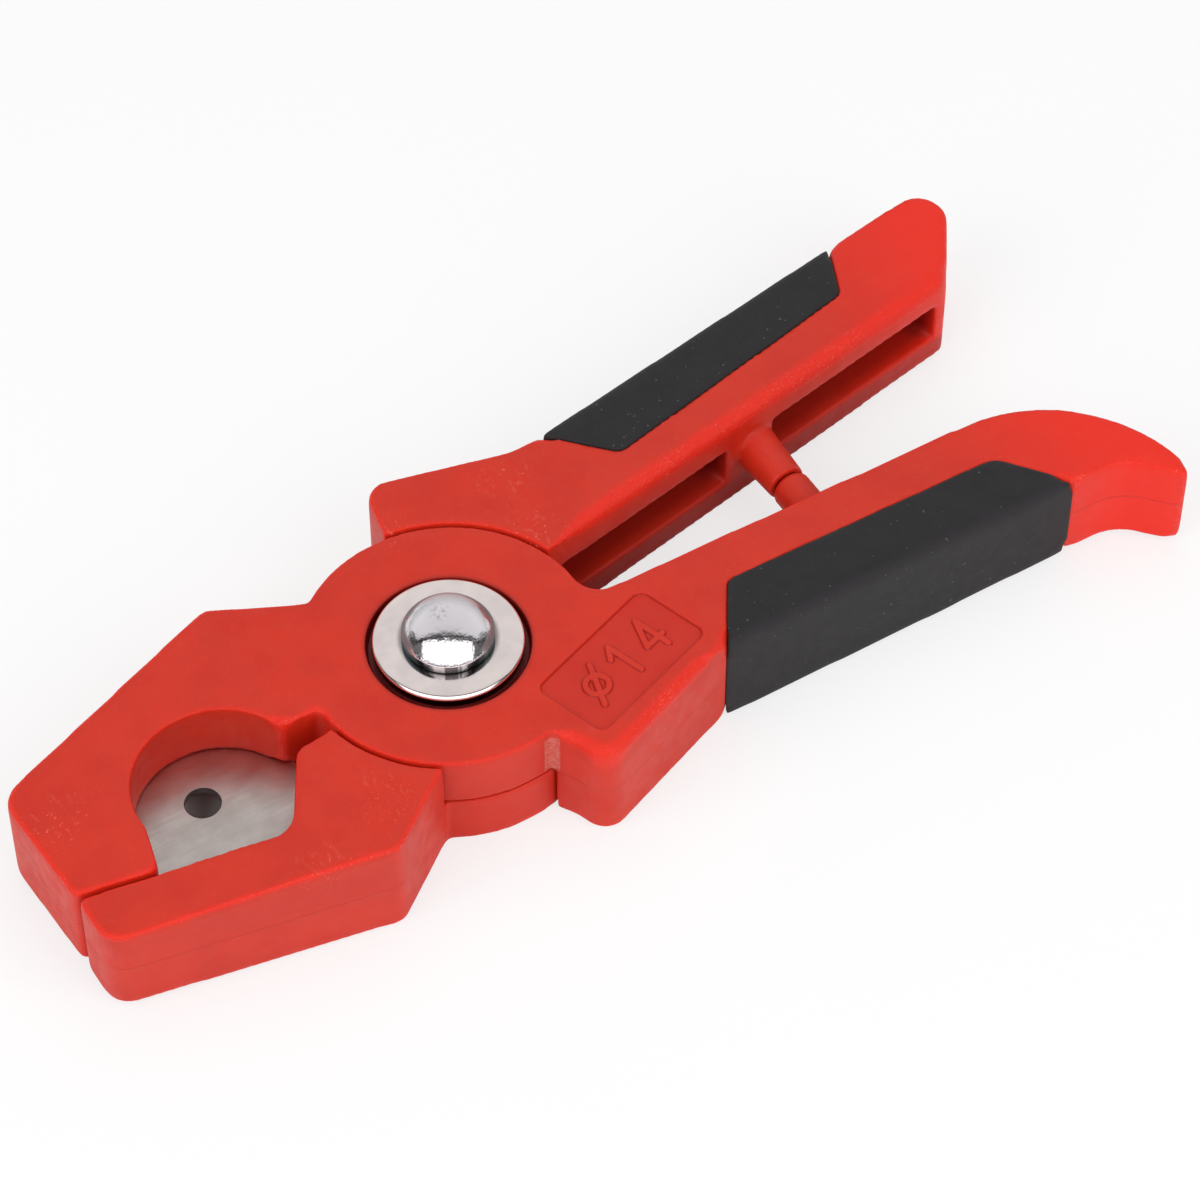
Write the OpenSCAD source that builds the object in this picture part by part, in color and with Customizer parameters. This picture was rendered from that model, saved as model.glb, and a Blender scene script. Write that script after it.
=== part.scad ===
// Cutter for plastic air tube. Two moulded levers cross at a lap joint and turn on a rivet.
// The blade lever carries a flat steel blade across its round mouth. The anvil lever holds the tube.
// The tool lies closed on its underside: +X runs along the handles, +Y points to the anvil lever's
// handle, and the pivot axis is the Z axis. All sizes are in millimetres.

/* [Head] */
// Thickness of both levers at the pivot
thickness = 13.5; // [12.5:0.25:15]
// Thickness of the jaws at their tips
tip_thickness = 12; // [11:0.1:12.4]
// Radius of the two lapped pivot discs
disc_r = 16.2; // [15.2:0.1:16.6]
// Gap between a disc and the other lever's curved shoulder
shoulder_gap = 0.3; // [0.2:0.05:0.4]
// Gap between the two laps
lap_gap = 0.3; // [0.2:0.05:0.5]

/* [Jaws] */
// Distance from the pivot to the jaw tips
jaw_reach = 49.8; // [48:0.1:52]
// Diameter of the round mouth that clears the tube
mouth_d = 18.2; // [17:0.2:19]
// Distance of the mouth's centre in front of the pivot
mouth_reach = 29.6; // [28.8:0.2:31]
// Distance of the mouth's centre below the pivot
mouth_drop = 2.6; // [2:0.1:3.2]
// Distance of the closing line from the pivot
close_drop = 17.4; // [16.8:0.1:18.2]
// Slope of the closing line
close_angle = 12; // [10:0.5:14]
// Gap left between the closed jaws
jaw_gap = 0.3; // [0.2:0.05:0.5]
// Height of the upper jaw's shoulder above the pivot
upper_shoulder = 18; // [17.6:0.1:19]
// Height of the upper jaw's front corner above the pivot
upper_front = 8; // [7.2:0.1:8.6]
// Depth of the anvil below the closing line
anvil_depth = 6.8; // [6.2:0.1:7.6]

/* [Blade] */
// Thickness of the blade
blade_t = 0.9; // [0.6:0.05:1.1]
// Reach of the cutting edge past the closing line
blade_overlap = 2.6; // [1.8:0.1:3]
// Diameter of the round hole in the blade
blade_hole_d = 4; // [3:0.2:5]
// Width of the ground bevel along the cutting edge
bevel_w = 1.6; // [1:0.1:2.2]
// Diameter of the screws that hold the blade
screw_d = 2.6; // [2.2:0.1:2.8]

/* [Pivot] */
// Diameter of the rivet's shank
rivet_d = 6; // [5:0.25:6.5]
// Diameter of the rivet's domed head
head_d = 10; // [9:0.1:11]
// Height of the dome above its straight band
dome_h = 3; // [1.6:0.1:3.4]
// Outer diameter of the two washers
washer_d = 16.4; // [14:0.1:16.6]
// Thickness of the top washer
top_washer_t = 1.5; // [1:0.1:1.8]
// Thickness of the bottom washer
bottom_washer_t = 1.1; // [0.8:0.1:1.3]
// Depth of the recess under the top washer
recess_depth = 0.6; // [0.4:0.05:0.8]
// Wall of the sleeve that the levers turn on
sleeve_wall = 1; // [0.75:0.05:1.25]
// Wire diameter of the opening spring
wire_d = 1.1; // [0.9:0.05:1.2]
// Turns of the opening spring
spring_turns = 2.5; // [2.5:1:3.5]

/* [Handles] */
// Distance from the pivot to the end of the curved handle
handle_reach = 82.7; // [80:0.1:86]
// Thickness of the handles at their ends
tail_thickness = 12; // [11:0.1:12.4]
// Distance of the curved handle's inner edge below the pivot
near_inner = 2.15; // [1.8:0.05:2.4]
// Width of the curved handle
near_width = 13.15; // [13:0.05:14]
// Radius of the curved handle's outer bend
tail_r = 18.4; // [16:0.2:18.6]
// Slope of the straight handle
far_angle = 9.6; // [9:0.1:10.4]
// Distance of the straight handle's inner edge from the pivot, square to it
far_inner = 2.5; // [2.2:0.1:3]
// Width of the straight handle
far_width = 13; // [12.4:0.1:13.6]
// Height of the channel in the inner side of each handle
channel_h = 5.3; // [4.8:0.1:5.8]
// Plastic between the channel and the grip
back_wall = 2.4; // [2:0.1:2.8]
// Thickness of the soft grips
grip_t = 1; // [0.7:0.05:1.2]
// Amount that the grips stand proud of the levers
grip_proud = 0.2; // [0.1:0.05:0.4]

/* [Latch peg] */
// Distance of the latch peg from the pivot
peg_reach = 46; // [45:0.25:47]
// Diameter of the peg and of the boss's end
peg_d = 4.5; // [4.2:0.1:5]
// Diameter of the boss where it leaves the handle
boss_root_d = 5.6; // [5.2:0.1:6.4]
// Diameter of the peg's tip
peg_tip_d = 2.2; // [1.8:0.1:2.4]

/* [Hidden] */
$fn = 96;

// One overrun serves every cut
over = thickness;
mid_z = thickness / 2;

// Small clearances
slot_play = 0.05;
fit_play = 0.03;
running_play = 0.06;
turning_gap = 0.1;

// Radii of rounded outline corners
small_round = 0.8;
corner_round = 1.5;
front_round = 3.4;
anvil_round = 3;
hump_round = 2.6;
blend_round = 8;
block_blend = 12;
tail_lean = 0.8;
far_tip_round = 3;
// Turn of one facet on a rounded corner, in degrees
facet_turn = 7.5;

// Mouth and closing line
mouth_r = mouth_d / 2;
mouth_centre = [-mouth_reach, -mouth_drop];
close_cos = cos(close_angle);
close_sin = sin(close_angle);
neck_drop = 0.3;
lip_flare = 1.3;
tip_lean = 0.7;
anvil_tip_lean = 0.8;
lip_angle = 186;

// Corner places that follow the discs, as shares of the disc radius
inside_share = 0.5;
inner_hub_share = 0.728;
nose_share = 0.138;
rear_start_shares = [-0.469, -0.802];
rear_corner_shares = [-1.106, -1.267];
upper_corner_share = 1.244;

// Ends of the anvil's hollow in front of the pivot, as shares of the mouth radius
anvil_shares = [0.385, 0.967];

// Laps
lap_low = mid_z - lap_gap / 2;
lap_high = mid_z + lap_gap / 2;
shoulder_r = disc_r + shoulder_gap;

// Share of the taper that the underside takes, and how far the profile runs past the ends
low_share = 0.25;
profile_share = 1.06;

// Blade
blade_below_mid = 1;
blade_z = mid_z - blade_below_mid;
blade_front_bite = 3;
blade_rear_bite = 0.4;
blade_roof = 1.9;
blade_wall = 2.8;
blade_inner_r = disc_r + blade_wall;
blade_edge_gap = 0.5;
blade_side_gap = 0.4;
blade_hole_offset = [-0.7, 2.85];
screw_inset = 2.6;
screw_angles = [125, 50];
screw_head_share = 1.9;
screw_head_d = screw_d * screw_head_share;
screw_head_h = 1.5;
screw_sink = 0.5;
screw_length = 7.6;
screw_slot_share = 0.7;
screw_slot_l = screw_head_d * screw_slot_share;
screw_slot_w = 0.6;
screw_slot_depth = 0.7;

// Pivot stack, from the bottom up
rivet_r = rivet_d / 2;
sleeve_r = rivet_r + sleeve_wall;
washer_r = washer_d / 2;
recess_play = 0.6;
recess_r = washer_r + recess_play;
tail_share = 0.9;
tail_d = head_d * tail_share;
tail_h = 0.9;
sleeve_z = tail_h + bottom_washer_t;
bottom_recess_z = sleeve_z + turning_gap;
top_washer_z = thickness - recess_depth;
head_z = top_washer_z + top_washer_t;
band_h = 1.2;
dome_r = (pow(head_d / 2, 2) + pow(dome_h, 2)) / (2 * dome_h);

// Opening spring, coiled in a hollow between the laps
pitch_share = 1.14;
wire_pitch = wire_d * pitch_share;
coil_play = 2.3;
coil_r = sleeve_r + coil_play;
coil_h = wire_pitch * spring_turns + wire_d;
coil_low = mid_z - coil_h / 2;
coil_high = mid_z + coil_h / 2;
hollow_wide = 1;
hollow_r = coil_r + wire_d / 2 + hollow_wide;
hollow_play = 0.2;
leg_length = 8;
leg_start_angle = 60;
leg_finish_angle = leg_start_angle + 360 * spring_turns;
wire_sides = 8;
ring_turn = 22.5;

// Share of a side that two arcs take when they would otherwise meet
fill_share = 0.98;

// Handles
near_outer = near_inner + near_width;
near_angle = 1;
far_outer = far_inner + far_width;
neck_blend = 3;
blend_bite = 0.05;
flat_front = 20;
flat_back = 25;

// Corners of the curved handle: the block by shares of the disc radius, the tail by shares of
// the handle reach and of the distance of the handle's outer edge
block_corner_shares = [0.401, -1.387];
notch_shares = [[0.308, -1.135], [0.187, -0.93]];
block_end_share = 1.54;
tail_shares = [[1.005, -1.366], [0.989, -1.345], [0.93, -1]];
valley_round = 6;

// Corners of the straight handle, by the same kinds of share
hump_shares = [[0.1, 0.5], [0.1, 1.02], [0.19, 1.475]];
hump_end_shares = [1.43, 1.015];
far_tip_shares = [[1.027, 1], [1.028, 0.699]];
far_end_shares = [0.9335, 1.14];

// Label on the block
label_size = [17.4, 9.2];
label_corner = [4.7, -10.2];
label_angle = 18.7;
label_depth = 0.4;
label_round = 1.2;
mark_rise = 0.28;
mark_w = 0.75;

// Strokes of the label's signs, as shares of a sign's width and height
mark_h_share = 0.5;
mark_w_share = 0.55;
mark_gap_share = 0.62;
ring_share = 0.65;
ring_stroke_shares = [0.05, 0, 1.25, 1];
one_shares = [[0.55, 0, 0.55, 1], [0.1, 0.72, 0.55, 1]];
four_shares = [[0.75, 0, 0.75, 1], [0, 0.3, 1, 0.3], [0, 0.3, 0.75, 1]];

// Channel ends along X, as shares of the handle reach
web_half = 4;
far_web_front = 2.9;
channel_drop = 0.5;
channel_z = mid_z - channel_drop;
near_channel_start_share = 0.35;
near_channel_end_share = 0.86;
far_channel_end_share = 0.915;
channel_wall = 2.4;
far_channel_start_r = disc_r + channel_wall;
root_share = 0.25;

// Latch peg and boss
peg_lift = 0.25;
peg_z = mid_z + peg_lift;
peg_gap = 0.15;
boss_end_y = 3.7;
bore_play = 0.35;
tip_length = 2.4;
bore_over = 0.5;
bore_depth = tip_length + bore_over;
tip_lead = 0.5;

// Grip outlines along X, as shares of the handle reach, with their insets from the outer edge
near_grip_shares = [0.308, 0.364, 0.782, 0.853];
near_grip_inset = 7.35;
near_grip_drop = 0.15;
far_grip_shares = [0.32, 0.382, 0.802, 0.852];
far_grip_inset = 7.7;
far_grip_drop = 1.4;
grip_round = 1.6;
grip_end_round = 2.5;

// Point on the closing line at a given x, lifted square to the line
function closing(x, lift) = [x, (lift - close_drop - close_sin * x) / close_cos];

// Turns a point from the jaw frame, whose first axis is the closing line, into the tool frame
function from_jaw(u, v) = [u * close_cos + v * close_sin, v * close_cos - u * close_sin];
function jaw_u(p) = p[0] * close_cos - p[1] * close_sin;

// Point at a distance along the straight handle, and at a distance square to it
function along_far(s, d) = [
    s * cos(far_angle) - d * sin(far_angle),
    s * sin(far_angle) + d * cos(far_angle)];

function unit(v) = v / norm(v);

// Crossing of the line through p along d with the line through q along e
function meet(p, d, q, e) = p + d * cross(q - p, e) / cross(d, e);

// Underside of the levers at a given x in front of the pivot
function underside(x) = (thickness - tip_thickness) * low_share
    * max(0, (x + flat_front) / (flat_front - jaw_reach));

// Arc that rounds the corner p between its neighbours
function corner_arc(p, before, after, r) =
    let (d1 = unit(before - p),
         d2 = unit(after - p),
         half = acos(d1 * d2) / 2,
         centre = p + unit(d1 + d2) * r / sin(half),
         start = p + d1 * r / tan(half) - centre,
         finish = p + d2 * r / tan(half) - centre,
         turn = 180 - 2 * half,
         side = sign(start[0] * finish[1] - start[1] * finish[0]),
         steps = max(2, ceil(turn / facet_turn)),
         a = atan2(start[1], start[0]))
    [for (i = [0 : steps])
        let (at = a + side * turn * i / steps)
        centre + r * [cos(at), sin(at)]];

// How far an arc of radius r at the corner p reaches along its sides
function arc_reach(p, before, after, r) = r / tan(acos(unit(before - p) * unit(after - p)) / 2);

// Outline from rows of [x, y, corner radius]. Where two arcs would meet on the side between them,
// their radii shrink alike.
function rounded(rows) =
    let (n = len(rows),
         xy = [for (row = rows) [row[0], row[1]]],
         reaches = [for (i = [0 : n - 1])
             arc_reach(xy[i], xy[(i + n - 1) % n], xy[(i + 1) % n], rows[i][2])],
         fits = [for (i = [0 : n - 1])
             let (side = norm(xy[(i + 1) % n] - xy[i]), needed = reaches[i] + reaches[(i + 1) % n])
             needed < side ? 1 : side * fill_share / needed])
    [for (i = [0 : n - 1])
        let (p = xy[i], before = xy[(i + n - 1) % n], after = xy[(i + 1) % n],
             r = rows[i][2] * min(fits[i], fits[(i + n - 1) % n]))
        each rows[i][2] == 0 ? [p] : corner_arc(p, before, after, r)];

function row(p, r = 0) = [p[0], p[1], r];

module slab(rows, low, high)
    translate([0, 0, low]) linear_extrude(high - low) polygon(rounded(rows));

module disc(r, low, high)
    translate([0, 0, low]) cylinder(r = r, h = high - low);

// Thickness along X: full at the pivot, thinner towards the tips and the handle ends
module side_profile(extra = 0) {
    tip_taper = thickness - tip_thickness;
    tail_taper = thickness - tail_thickness;
    rows = [[-jaw_reach, tip_taper], [-flat_front, 0], [flat_back, 0], [handle_reach, tail_taper],
        [handle_reach * profile_share, tail_taper]];
    upper = [for (r = rows) [r[0], thickness - r[1] * (1 - low_share) + extra]];
    lower = [for (i = [len(rows) - 1 : -1 : 0]) [rows[i][0], rows[i][1] * low_share - extra]];
    front_x = -jaw_reach * profile_share;
    front = [[front_x, lower[len(rows) - 1][1]], [front_x, upper[0][1]]];
    rotate([90, 0, 0])
        linear_extrude(2 * handle_reach, center = true) polygon(concat(upper, lower, front));
}

// Upper jaw with its round mouth, seen from above
module upper_jaw_shape(low, high) {
    difference() {
        slab([
            row([-disc_r * inside_share, disc_r * inner_hub_share]),
            row([-disc_r * upper_corner_share, upper_shoulder], corner_round),
            row([-jaw_reach, upper_front], front_round),
            row(closing(-jaw_reach + tip_lean, jaw_gap / 2), small_round),
            row(closing(-mouth_reach - mouth_r - lip_flare, jaw_gap / 2), small_round),
            row(mouth_centre + mouth_r * [cos(lip_angle), sin(lip_angle)]),
            row([-mouth_reach, -neck_drop]),
            row([-disc_r * inside_share, -neck_drop])], low, high);
        translate([mouth_centre[0], mouth_centre[1], low - over])
            cylinder(r = mouth_r, h = high - low + 2 * over);
    }
}

// Lower jaw with its L-shaped anvil, seen from above
module lower_jaw_shape(low, high) {
    anvil_x = -mouth_reach + mouth_r * anvil_shares[0];
    nose_x = -mouth_reach + mouth_r * anvil_shares[1];
    slab([
        row(closing(-jaw_reach + anvil_tip_lean, -jaw_gap / 2), small_round),
        row(closing(anvil_x, -jaw_gap / 2), anvil_round),
        row([nose_x, -disc_r * nose_share - corner_round], corner_round),
        row([-disc_r * inside_share, -disc_r * nose_share]),
        row([-disc_r * inside_share, -disc_r * inside_share]),
        row(disc_r * rear_start_shares),
        row(disc_r * rear_corner_shares, corner_round),
        row(closing(-jaw_reach + anvil_tip_lean, -anvil_depth), anvil_round)], low, high);
}

// Turns what is drawn along X to the slope of the curved handle
module on_near() rotate([0, 0, -near_angle]) children();

function tail_point(i) = [handle_reach * tail_shares[i][0], near_outer * tail_shares[i][1]];

// Curved handle with the label block beside the pivot, seen from above
module near_handle_shape(low, high) {
    on_near() slab([
        row([disc_r * inside_share, -near_inner]),
        row([handle_reach - tail_lean, -near_inner], tail_r),
        row(tail_point(0), small_round),
        row(tail_point(1), small_round),
        row(tail_point(2), valley_round),
        row([disc_r * block_end_share, -near_outer], block_blend),
        row(disc_r * block_corner_shares, hump_round),
        row(disc_r * notch_shares[0], small_round),
        row(disc_r * notch_shares[1]),
        row([0, -disc_r * inside_share])], low, high);
}

// Hollow blend between a disc and the inner edge of the curved handle
module near_blend(low, high) {
    centre_y = neck_blend - near_inner;
    reach = disc_r + neck_blend - blend_bite;
    centre_x = sqrt(pow(reach, 2) - pow(centre_y, 2));
    touch = (disc_r - blend_bite) / reach;
    on_near() difference() {
        slab([
            row([disc_r * inside_share, 0]),
            row([touch * centre_x, touch * centre_y]),
            row([centre_x, centre_y]),
            row([centre_x, -near_inner - neck_blend]),
            row([disc_r * inside_share, -near_inner - neck_blend])], low, high);
        translate([centre_x, centre_y, low - over]) cylinder(r = neck_blend, h = high - low + 2 * over);
    }
}

// Straight handle with the hump beside the pivot, seen from above
module far_handle_shape(low, high) {
    slab([
        row(disc_r * hump_shares[0]),
        row(disc_r * hump_shares[1]),
        row(disc_r * hump_shares[2], hump_round),
        row(along_far(disc_r * hump_end_shares[0], far_outer * hump_end_shares[1]), blend_round),
        row(along_far(handle_reach * far_tip_shares[0][0], far_outer * far_tip_shares[0][1]), far_tip_round),
        row(along_far(handle_reach * far_tip_shares[1][0], far_outer * far_tip_shares[1][1]), far_tip_round),
        row(along_far(handle_reach * far_end_shares[0], far_inner * far_end_shares[1]), corner_round),
        row(along_far(disc_r * inside_share, far_inner))], low, high);
}

// Channel in the inner side of the curved handle
module near_channel(start, finish) {
    depth = near_width - grip_t - back_wall;
    on_near() translate([start, -near_inner - depth, channel_z - channel_h / 2])
        cube([finish - start, depth + over, channel_h]);
}

// Channel in the inner side of the straight handle
module far_channel(start, finish) {
    depth = far_width - grip_t - back_wall;
    rotate([0, 0, far_angle])
        translate([start, far_inner - over, channel_z - channel_h / 2])
            cube([finish - start, depth + over, channel_h]);
}

// Space round the plastic core that a grip fills
module grip_core(outer_line, angle) {
    intersection() {
        side_profile(-grip_t);
        rotate([0, 0, angle])
            translate([-handle_reach, outer_line < 0 ? outer_line + grip_t : -handle_reach, -over])
                cube([3 * handle_reach, handle_reach + abs(outer_line) - grip_t, thickness + 2 * over]);
    }
}

// Point at the height y on the line from one corner to another
function reached(p, q, y) = p + (q - p) * (y - p[1]) / (q[1] - p[1]);

module near_grip_plan(reach_out, low, high) {
    top = -near_outer + near_grip_inset;
    base = -near_outer - reach_out;
    front = [handle_reach * near_grip_shares[1], top];
    back = [handle_reach * near_grip_shares[2], top - near_grip_drop];
    on_near() slab([
        row(reached([handle_reach * near_grip_shares[0], -near_outer], front, base)),
        row(front, grip_round),
        row(back, grip_end_round),
        row(reached([handle_reach * near_grip_shares[3], -near_outer], back, base))], low, high);
}

module far_grip_plan(reach_out, low, high) {
    top = far_outer - far_grip_inset;
    base = far_outer + reach_out;
    front = [handle_reach * far_grip_shares[1], top];
    back = [handle_reach * far_grip_shares[2], top + far_grip_drop];
    rotate([0, 0, far_angle]) slab([
        row(reached([handle_reach * far_grip_shares[0], far_outer], front, base)),
        row(front, grip_round),
        row(back, grip_round),
        row(reached([handle_reach * far_grip_shares[3], far_outer], back, base))], low, high);
}

module near_grip_room() {
    difference() {
        near_grip_plan(over, -over, thickness + over);
        grip_core(-near_outer, -near_angle);
    }
}

module far_grip_room() {
    difference() {
        far_grip_plan(over, -over, thickness + over);
        grip_core(far_outer, far_angle);
    }
}

// Blade seen from above; a growth of zero gives the blade, more gives the slot it sits in
module blade_shape(low, high, grow = 0) {
    front = jaw_u(mouth_centre) - mouth_r - blade_front_bite - grow;
    rear = jaw_u(mouth_centre) + mouth_r + blade_rear_bite + grow;
    edge = -close_drop - blade_overlap - grow;
    upright = [close_sin, close_cos];
    shoulder = [-disc_r * upper_corner_share, upper_shoulder];
    roof_run = unit([-jaw_reach, upper_front] - shoulder);
    back_run = unit(disc_r * [-inside_share, inner_hub_share] - shoulder);
    inset = blade_roof - grow;
    crest = meet(shoulder + inset * [-roof_run[1], roof_run[0]], roof_run,
        shoulder + inset * [back_run[1], -back_run[0]], back_run);
    difference() {
        slab([
            row(from_jaw(front, edge)),
            row(from_jaw(rear, edge)),
            row(meet(from_jaw(rear, edge), upright, crest, back_run)),
            row(crest),
            row(meet(from_jaw(front, edge), upright, crest, roof_run))], low, high);
        disc(blade_inner_r - grow, low - over, high + over);
    }
}

function screw_place(i) = mouth_centre
    + (mouth_r + screw_inset) * [cos(screw_angles[i]), sin(screw_angles[i])];

module screw_hole(i) {
    place = screw_place(i);
    head = underside(place[0]) + screw_sink;
    translate([place[0], place[1], head]) {
        cylinder(r = screw_d / 2 + slot_play, h = screw_length + slot_play);
        translate([0, 0, -over]) cylinder(r = screw_head_d / 2 + slot_play, h = over + screw_head_h);
    }
}

module screw(i) {
    place = screw_place(i);
    head = underside(place[0]) + screw_sink;
    color("silver") translate([place[0], place[1], head])
        difference() {
            union() {
                cylinder(r = screw_head_d / 2, h = screw_head_h);
                cylinder(r = screw_d / 2, h = screw_length);
            }
            for (turn = [0, 90]) rotate([0, 0, turn])
                translate([-screw_slot_l / 2, -screw_slot_w / 2, -over])
                    cube([screw_slot_l, screw_slot_w, over + screw_slot_depth]);
        }
}

// Hollow for the spring's coil, and the straight groove for one leg
module spring_room(low, high, angle, side) {
    difference() {
        disc(hollow_r, low, high);
        disc(sleeve_r + fit_play, low - over, high + over);
    }
    rotate([0, 0, angle])
        translate([coil_r - wire_d / 2 - hollow_play, side > 0 ? 0 : -leg_length - wire_d, low])
            cube([wire_d + 2 * hollow_play, leg_length + wire_d, high - low]);
}

// Raised stroke between two points
module stroke(a, b) {
    run = b - a;
    translate(a) rotate([0, 0, atan2(run[1], run[0])])
        translate([-mark_w / 2, -mark_w / 2]) cube([norm(run) + mark_w, mark_w, mark_rise + slot_play]);
}

module strokes(rows, w, h)
    for (r = rows) stroke([r[0] * w, r[1] * h], [r[2] * w, r[3] * h]);

// Raised diameter sign and number on the label block
module size_mark() {
    h = label_size[1] * mark_h_share;
    w = h * mark_w_share;
    ring_w = 2 * w * ring_share;
    gap = w * mark_gap_share;
    translate([(label_size[0] - ring_w - 2 * w - 2 * gap) / 2, (label_size[1] - h) / 2, -slot_play]) {
        difference() {
            translate([ring_w / 2, h / 2, 0]) cylinder(r = ring_w / 2, h = mark_rise + slot_play);
            translate([ring_w / 2, h / 2, -over]) cylinder(r = ring_w / 2 - mark_w, h = 2 * over);
        }
        strokes([ring_stroke_shares], w, h);
        translate([ring_w + gap, 0, 0]) strokes(one_shares, w, h);
        translate([ring_w + w + 2 * gap, 0, 0]) strokes(four_shares, w, h);
    }
}

module label_recess() {
    corner = label_round;
    translate([label_corner[0], label_corner[1], thickness - label_depth]) rotate([0, 0, label_angle])
        mirror([0, 1, 0]) slab([
            [0, 0, corner], [label_size[0], 0, corner],
            [label_size[0], label_size[1], corner], [0, label_size[1], corner]], 0, over);
}

module blade_lever() {
    color("red") union() {
        difference() {
            intersection() {
                union() {
                    disc(disc_r, 0, thickness);
                    near_blend(0, thickness);
                    upper_jaw_shape(0, thickness);
                    near_handle_shape(0, thickness);
                }
                side_profile();
            }
            disc(shoulder_r, -over, lap_high);
            near_grip_room();
            near_channel(handle_reach * near_channel_start_share, peg_reach - web_half);
            near_channel(peg_reach + web_half, handle_reach * near_channel_end_share);
            blade_shape(blade_z - blade_t / 2 - slot_play, blade_z + blade_t / 2 + slot_play, slot_play);
            for (i = [0, 1]) screw_hole(i);
            disc(sleeve_r + fit_play, -over, thickness + over);
            disc(recess_r, top_washer_z, thickness + over);
            spring_room(lap_high - slot_play, coil_high + hollow_play, leg_finish_angle, 1);
            label_recess();
        }
        translate([label_corner[0], label_corner[1], thickness - label_depth]) rotate([0, 0, label_angle])
            translate([0, -label_size[1], 0]) size_mark();
        latch_peg();
    }
}

// Peg on the curved handle, whose thin tip enters the boss
module latch_peg() {
    shoulder = boss_end_y - peg_gap;
    root = near_inner + near_width * root_share;
    translate([peg_reach, 0, peg_z]) rotate([-90, 0, 0]) {
        translate([0, 0, -root])
            cylinder(r = peg_d / 2, h = shoulder - tip_lead + root);
        translate([0, 0, shoulder - tip_lead])
            cylinder(r1 = peg_d / 2, r2 = peg_d / 2 - tip_lead, h = tip_lead);
        cylinder(r = peg_tip_d / 2, h = shoulder + tip_length - tip_lead);
        translate([0, 0, shoulder + tip_length - tip_lead])
            cylinder(r1 = peg_tip_d / 2, r2 = peg_tip_d / 2 - tip_lead / 2, h = tip_lead);
    }
}

module anvil_lever() {
    root_y = far_inner + peg_reach * sin(far_angle) + far_width * root_share;
    color("red") difference() {
        union() {
            difference() {
                intersection() {
                    union() {
                        disc(disc_r, 0, thickness);
                        lower_jaw_shape(0, thickness);
                        far_handle_shape(0, thickness);
                    }
                    side_profile();
                }
                disc(shoulder_r, lap_low, thickness + over);
                far_grip_room();
                difference() {
                    far_channel(0, peg_reach - far_web_front);
                    disc(far_channel_start_r, -over, thickness + over);
                }
                far_channel(peg_reach + web_half, handle_reach * far_channel_end_share);
                blade_room();
                disc(sleeve_r + running_play, -over, thickness + over);
                disc(recess_r, -over, bottom_recess_z);
                spring_room(coil_low - hollow_play, lap_low + slot_play, leg_start_angle, -1);
            }
            translate([peg_reach, boss_end_y, peg_z]) rotate([-90, 0, 0])
                cylinder(r1 = peg_d / 2, r2 = boss_root_d / 2, h = root_y - boss_end_y);
        }
        translate([peg_reach, boss_end_y - over, peg_z]) rotate([-90, 0, 0])
            cylinder(r = peg_tip_d / 2 + bore_play, h = over + bore_depth);
    }
}

// Slot in the anvil that takes the blade's edge, wide enough for the blade to swing out
module blade_room() {
    front = jaw_u(mouth_centre) - mouth_r - blade_front_bite;
    rear = jaw_u(mouth_centre) + mouth_r + blade_rear_bite + blade_side_gap;
    edge = -close_drop - blade_overlap;
    reach = norm([front, edge]) + blade_side_gap;
    half = blade_t / 2 + 3 * slot_play;
    intersection() {
        slab([
            row(from_jaw(-2 * jaw_reach, edge - blade_edge_gap)),
            row(from_jaw(rear, edge - blade_edge_gap)),
            row(from_jaw(rear, 0)),
            row(from_jaw(-2 * jaw_reach, 0))], blade_z - half, blade_z + half);
        difference() {
            disc(reach, -over, thickness + over);
            disc(blade_inner_r - blade_side_gap, -2 * over, thickness + 2 * over);
        }
    }
}

module blade() {
    edge = -close_drop - blade_overlap;
    hole = mouth_centre + blade_hole_offset;
    low = blade_z - blade_t / 2;
    color("silver") difference() {
        blade_shape(low, low + blade_t);
        translate([hole[0], hole[1], -over]) cylinder(r = blade_hole_d / 2, h = thickness + 2 * over);
        for (i = [0, 1]) {
            place = screw_place(i);
            translate([place[0], place[1], -over])
                cylinder(r = screw_d / 2 + slot_play, h = thickness + 2 * over);
        }
        for (side = [-1, 1])
            translate([0, 0, blade_z]) rotate([0, 0, -close_angle]) translate([0, edge, 0])
                rotate([side * atan2(blade_t / 2, bevel_w), 0, 0])
                    translate([-2 * jaw_reach, -over, side > 0 ? 0 : -over])
                        cube([4 * jaw_reach, over + 2 * bevel_w, over]);
    }
}

module blade_lever_grip() {
    color("dimgray") difference() {
        intersection() {
            near_grip_plan(grip_proud, 0, thickness + over);
            side_profile(grip_proud);
        }
        grip_core(-near_outer, -near_angle);
    }
}

module anvil_lever_grip() {
    color("dimgray") difference() {
        intersection() {
            far_grip_plan(grip_proud, 0, thickness + over);
            side_profile(grip_proud);
        }
        grip_core(far_outer, far_angle);
    }
}

module blade_screw_front() screw(0);
module blade_screw_rear() screw(1);

module pivot_rivet() {
    color("gainsboro") {
        cylinder(r = tail_d / 2, h = tail_h);
        cylinder(r = rivet_r, h = head_z + band_h);
        translate([0, 0, head_z]) cylinder(r = head_d / 2, h = band_h);
        intersection() {
            translate([0, 0, head_z + band_h + dome_h - dome_r]) sphere(r = dome_r);
            translate([0, 0, head_z + band_h]) cylinder(r = head_d / 2, h = dome_h);
        }
    }
}

module pivot_sleeve() {
    color("darkgray") difference() {
        disc(sleeve_r, sleeve_z, top_washer_z);
        disc(rivet_r + fit_play, -over, thickness + over);
    }
}

module top_washer() {
    color("lightgray") difference() {
        disc(washer_r, top_washer_z, head_z);
        disc(rivet_r + fit_play, -over, thickness + over);
    }
}

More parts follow.
